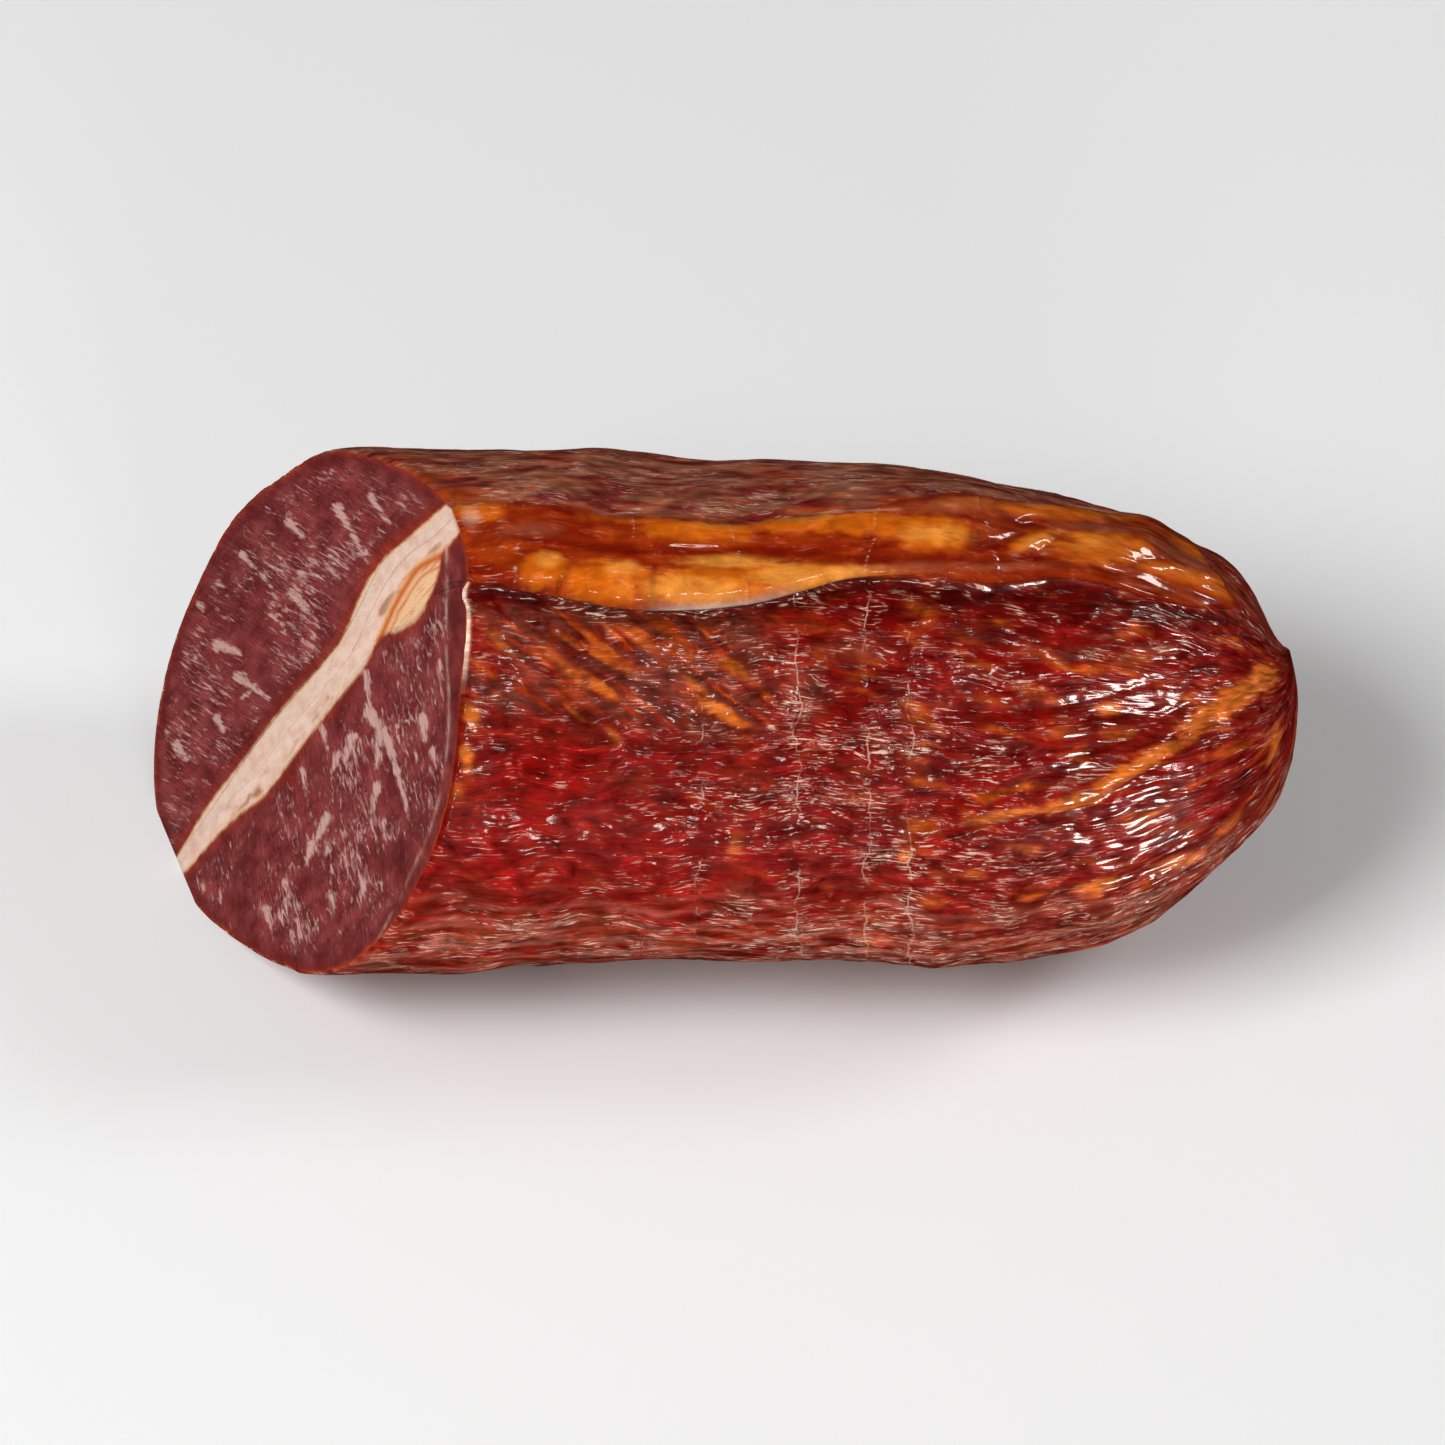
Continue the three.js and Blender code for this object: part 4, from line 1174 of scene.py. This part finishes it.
class Material:
    """A material with short calls for its nodes."""

    def __init__(self, name):
        self.data = bpy.data.materials.new(name)
        self.data.use_nodes = True
        self.tree = self.data.node_tree
        self.shader = self.tree.nodes["Principled BSDF"]

    def add(self, kind, inputs=(), **settings):
        node = self.tree.nodes.new(kind)
        for key, value in settings.items():
            setattr(node, key, value)
        for key, value in dict(inputs).items():
            self.set(node.inputs[key], value)
        return node

    def set(self, socket, value):
        if isinstance(value, bpy.types.NodeSocket):
            self.tree.links.new(value, socket)
        else:
            socket.default_value = value

    def attribute(self, name, output="Color"):
        return self.add("ShaderNodeAttribute", attribute_name=name).outputs[output]

    def channels(self, name):
        node = self.add("ShaderNodeSeparateColor", {"Color": self.attribute(name)})
        return [node.outputs[i] for i in range(3)]

    def math(self, operation, a, b=0.0, c=0.0):
        return self.add("ShaderNodeMath", {0: a, 1: b, 2: c}, operation=operation).outputs[0]

    def product(self, first, *others):
        for other in others:
            first = self.math("MULTIPLY", first, other)
        return first

    def noise(self, flow, along_mm, across_mm, detail=3.0, twist=0.0, offset=0.0):
        """Noise drawn out along the flow: how long and how wide its features are."""
        scale = (1 / along_mm, 1 / across_mm, 1.0)
        place = self.add("ShaderNodeMapping", {"Vector": flow, "Scale": scale, "Location": (0, 0, offset)})
        inputs = {"Vector": place.outputs[0], "Scale": 1.0, "Detail": detail, "Distortion": twist}
        return self.add("ShaderNodeTexNoise", inputs).outputs["Fac"]

    def rings(self, flow, places):
        """Thin wandering lines round the piece at ways along it."""
        way = self.add("ShaderNodeSeparateXYZ", {0: flow}).outputs[0]
        wander = self.math("MULTIPLY_ADD", self.noise(flow, 9.0, 7.0, 3.0, 0.0, 43.0), 5.0, way)
        total = 0.0
        for at in places:
            off = self.math("ABSOLUTE", self.math("SUBTRACT", wander, at + 2.5))
            total = self.math("MAXIMUM", total, self.step(off, 0.2, 0.02))
        return self.math("MULTIPLY", total, 0.55)

    def step(self, value, low, high, to_low=0.0, to_high=1.0):
        names = ("Value", "From Min", "From Max", "To Min", "To Max")
        inputs = dict(zip(names, (value, low, high, to_low, to_high)))
        return self.add("ShaderNodeMapRange", inputs, interpolation_type="SMOOTHSTEP").outputs[0]

    def ridges(self, value, sharpness):
        """1 along the lines where noise passes its middle."""
        off = self.math("ABSOLUTE", self.math("SUBTRACT", value, 0.5))
        return self.math("SUBTRACT", 1.0, self.math("MULTIPLY", off, sharpness))

    def blend(self, factor, a, b, kind="MIX"):
        node = self.add("ShaderNodeMix", data_type="RGBA", blend_type=kind)
        for socket, value in zip((node.inputs[0], node.inputs[6], node.inputs[7]), (factor, a, b)):
            self.set(socket, value)
        return node.outputs[2]

    def bump(self, height, distance):
        inputs = {"Height": height, "Distance": distance, "Strength": 1.0}
        return self.add("ShaderNodeBump", inputs).outputs[0]

    def finish(self, **inputs):
        for key, value in inputs.items():
            self.set(self.shader.inputs[key.replace("_", " ")], value)
        return self.data


def solid(c):
    return (*[float(v) for v in c], 1.0)


def skin_material(name, scatter, coat, wrinkle_mm, lines, contrast, net=()):
    """The dried casing: fine wrinkles along the piece, thin pale lines on them that are painted highlights,
    a glossy film.
    """
    m = Material(name)
    flow = m.attribute("flow", "Vector")
    pale, rough, wrinkled = m.channels("marks")
    gather = m.add("ShaderNodeSeparateXYZ", {0: flow}).outputs[2]
    short_fold = m.noise(flow, 5.0, 1.1, 0.5, 0.9)
    long_fold = m.noise(flow, 13.0, 1.0, 0.5, 0.5, 8.0)
    fold = m.add("ShaderNodeMix", {0: gather, 2: short_fold, 3: long_fold}).outputs[0]
    thin = m.noise(flow, 2.6, 0.42, 1.5, 0.9, 5.0)
    streak = m.noise(flow, 4.0, 1.1, 4, 0.7, 11.0)
    cloud = m.noise(flow, 4.5, 3.0, 5, 0.6, 13.0)
    grain = m.noise(flow, 0.3, 0.22, 2, 0.0, 19.0)
    dash = m.step(m.noise(flow, 2.4, 0.36, 1.0, 0.7, 27.0), 0.57, 0.65)
    squiggle = m.ridges(m.noise(flow, 0.9, 0.6, 3, 1.4, 37.0), 12.0)
    shade = m.product(
        m.step(cloud, 0.25, 0.75, 0.55, 1.6),
        m.step(streak, 0.3, 0.7, 0.78, 1.24),
        m.step(grain, 0.2, 0.8, 0.86, 1.14),
        m.step(thin, 0.3, 0.7, 0.86, 1.12),
    )
    shade = m.math("MULTIPLY_ADD", shade, contrast, 1 - contrast)
    base = m.blend(1.0, m.attribute("paint"), shade, "MULTIPLY")
    # The thin pale lines, painted highlights along the wrinkles, which also rise a little as relief.
    bunch = m.step(m.math("ADD", pale, m.step(cloud, 0.3, 0.7, -0.3, 0.3)), 0.15, 0.75)
    line = m.math("MULTIPLY", m.math("MAXIMUM", dash, m.rings(flow, net)), bunch)
    knot = m.product(m.step(squiggle, 0.4, 0.95), m.step(streak, 0.48, 0.62), m.step(pale, 0.4, 0.9))
    line = m.math("MULTIPLY", m.math("MAXIMUM", line, knot), lines)
    colour_out = m.blend(line, base, solid(PALE))
    gloss = m.math("ADD", rough, m.step(cloud, 0.3, 0.7, -0.08, 0.1))
    folds = m.product(fold, 0.6, wrinkled)
    height = m.math("MULTIPLY_ADD", line, 0.12, m.math("MULTIPLY_ADD", thin, 0.1, folds))
    return m.finish(
        Base_Color=colour_out,
        Roughness=gloss,
        Normal=m.bump(height, wrinkle_mm * MM),
        Coat_Normal=m.bump(folds, wrinkle_mm * MM),
        Subsurface_Weight=scatter,
        Subsurface_Radius=SKIN_SCATTER,
        Subsurface_Scale=3.5 * MM,
        Specular_IOR_Level=0.1,
        Coat_Weight=coat,
        Coat_Roughness=0.1,
    )


def cut_material():
    """The cut: lean with pale flecks drawn out along its fibres, and grainy fat."""
    m = Material("cut_loin")
    flow = m.attribute("flow", "Vector")
    fleck, density, fat = m.channels("marks")
    ragged = m.noise(flow, 1.7, 0.42, 4, 0.5)
    small = m.noise(flow, 2.4, 0.62, 3, 0.9, 3.0)
    tiny = m.noise(flow, 1.1, 0.34, 2, 0.5, 9.0)
    grain = m.noise(flow, 0.3, 0.26, 2, 0.0, 15.0)
    cloud = m.noise(flow, 3.2, 2.0, 3, 0.0, 21.0)
    fibre = m.noise(flow, 3.0, 0.28, 2, 0.4, 33.0)
    lean = m.math("SUBTRACT", 1.0, fat)
    shade = m.product(
        m.step(grain, 0.2, 0.8, 0.86, 1.14),
        m.step(cloud, 0.25, 0.75, 0.82, 1.2),
        m.step(fibre, 0.25, 0.75, 0.8, 1.22),
        lean,
    )
    shade = m.math("MULTIPLY_ADD", m.step(grain, 0.2, 0.8, 0.93, 1.05), fat, shade)
    base = m.blend(1.0, m.attribute("paint"), shade, "MULTIPLY")
    vein = m.math("ADD", fleck, m.math("MULTIPLY_ADD", ragged, 1.6, -0.8))
    vein = m.step(vein, 0.4, 0.95)
    spots = m.step(m.math("MULTIPLY_ADD", density, 0.3, small), 0.7, 0.94)
    specks = m.step(m.math("MULTIPLY_ADD", density, 0.3, tiny), 0.74, 0.98, 0.0, 0.5)
    marbled = m.math("MAXIMUM", m.math("MAXIMUM", vein, spots), specks)
    colour_out = m.blend(m.product(marbled, lean, 0.75), base, solid(MARBLE))
    height = m.math("MULTIPLY_ADD", fibre, 0.5, m.math("MULTIPLY", grain, 0.7))
    height = m.math("MULTIPLY_ADD", ragged, 0.5, height)
    return m.finish(
        Base_Color=colour_out,
        Roughness=m.step(cloud, 0.3, 0.7, 0.4, 0.56),
        Normal=m.bump(height, 0.16 * MM),
        Subsurface_Weight=0.18,
        Subsurface_Radius=CUT_SCATTER,
        Subsurface_Scale=3 * MM,
        Specular_IOR_Level=0.3,
    )


# The studio.

WORLD_LIGHT = 0.16
# Place and size in metres, and watts. The boxes light the piece softly, and the glint lamps are
# there for the gloss of its wrinkles.
BOXES = {
    "left_box": ((-0.9, -0.6, 1.3), 0.8, 24),
    "right_box": ((1.3, 0.2, 1.1), 0.5, 8),
    "low_box": ((0.3, -1.3, 0.3), 0.5, 5),
}
GLINT_COLOUR = (1.0, 0.9, 0.83)
GLINT_LAMPS = {
    "glint_dome": ((0.74, -0.74, 0.18), 0.28, 9),
    "glint_right": ((0.9, 0.6, 0.75), 0.2, 2.8),
    "glint_front": ((0.25, -0.75, 1.1), 0.11, 0.9),
    "glint_left": ((-0.5, -0.95, 0.8), 0.1, 0.7),
    "glint_low": ((-0.1, -1.2, 0.42), 0.12, 1.0),
}


def add_camera():
    camera = bpy.data.cameras.new("camera")
    camera.sensor_width = SENSOR
    camera.lens = SENSOR * CAMERA_DISTANCE / (FRAME_PIXELS * MM_PER_PIXEL)
    camera.clip_end = 20
    holder = bpy.data.objects.new("camera", camera)
    tilt = math.radians(ELEVATION)
    aim = np.array(AXIS) + np.array([AIM_X, AIM_UP * math.sin(tilt), AIM_UP * math.cos(tilt)])
    away = np.array([0, -math.cos(tilt), math.sin(tilt)])
    holder.location = (aim + away * CAMERA_DISTANCE) * MM
    holder.rotation_euler = (math.radians(90 - ELEVATION), 0, 0)
    bpy.context.scene.collection.objects.link(holder)
    bpy.context.scene.camera = holder


def add_lamp(name, place_m, size_m, watts, only_mirrored):
    """A soft square lamp that faces the middle of the piece."""
    data = bpy.data.lights.new(name, "AREA")
    data.energy = watts
    data.size = size_m
    data.color = GLINT_COLOUR if only_mirrored else (1, 1, 1)
    lamp = bpy.data.objects.new(name, data)
    lamp.visible_glossy = only_mirrored
    lamp.visible_diffuse = not only_mirrored
    lamp.location = place_m
    aim = Vector((0, 0, AXIS[2] * MM)) - Vector(place_m)
    lamp.rotation_euler = aim.to_track_quat("-Z", "Y").to_euler()
    bpy.context.scene.collection.objects.link(lamp)


def shade_lamp(name, piece):
    """Lets a lamp reach one piece only, as a flag beside it would."""
    reached = bpy.data.collections.new(name)
    reached.objects.link(piece)
    bpy.data.objects[name].light_linking.receiver_collection = reached


def add_floor():
    m = Material("pale_floor")
    white = m.finish(Base_Color=(0.86, 0.86, 0.86, 1), Roughness=0.6, Specular_IOR_Level=0.2)
    half = 3.0
    mesh = bpy.data.meshes.new("floor")
    corners = [(-half, -half, 0), (half, -half, 0), (half, half, 0), (-half, half, 0)]
    mesh.from_pydata(corners, [], [(0, 1, 2, 3)])
    mesh.materials.append(white)
    floor = bpy.data.objects.new("floor", mesh)
    bpy.context.scene.collection.objects.link(floor)
    floor.visible_glossy = False


def add_studio():
    add_camera()
    add_floor()
    world = bpy.data.worlds.new("studio")
    world.use_nodes = True
    world.node_tree.nodes["Background"].inputs["Color"].default_value = (1, 1, 1, 1)
    world.node_tree.nodes["Background"].inputs["Strength"].default_value = WORLD_LIGHT
    bpy.context.scene.world = world
    bpy.context.scene.view_settings.view_transform = "Standard"
    world.cycles_visibility.glossy = False
    for lamps, only_mirrored in ((BOXES, False), (GLINT_LAMPS, True)):
        for name, settings in lamps.items():
            add_lamp(name, *settings, only_mirrored)


def build():
    cut = cut_material()
    meat = skin_material("front_casing", 0.05, 0.8, 0.65, 0.8, 1.0, NET_RINGS)
    fat = skin_material("fat_casing", 0.25, 0.8, 0.25, 0.5, 0.4)
    back = skin_material("back_casing", 0.05, 0.2, 0.5, 0.6, 0.8)
    pieces = {
        "front_loin": side_piece("front_loin_meat", "front", [meat, cut]),
        "fat_layer": fat_piece("fat_layer_fat", [fat, cut]),
        "back_loin": side_piece("back_loin_meat", "back", [back, cut]),
    }
    for node, piece in pieces.items():
        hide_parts(node)
        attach(piece, "root")
    shade_lamp("glint_dome", pieces["front_loin"])


add_studio()
build()
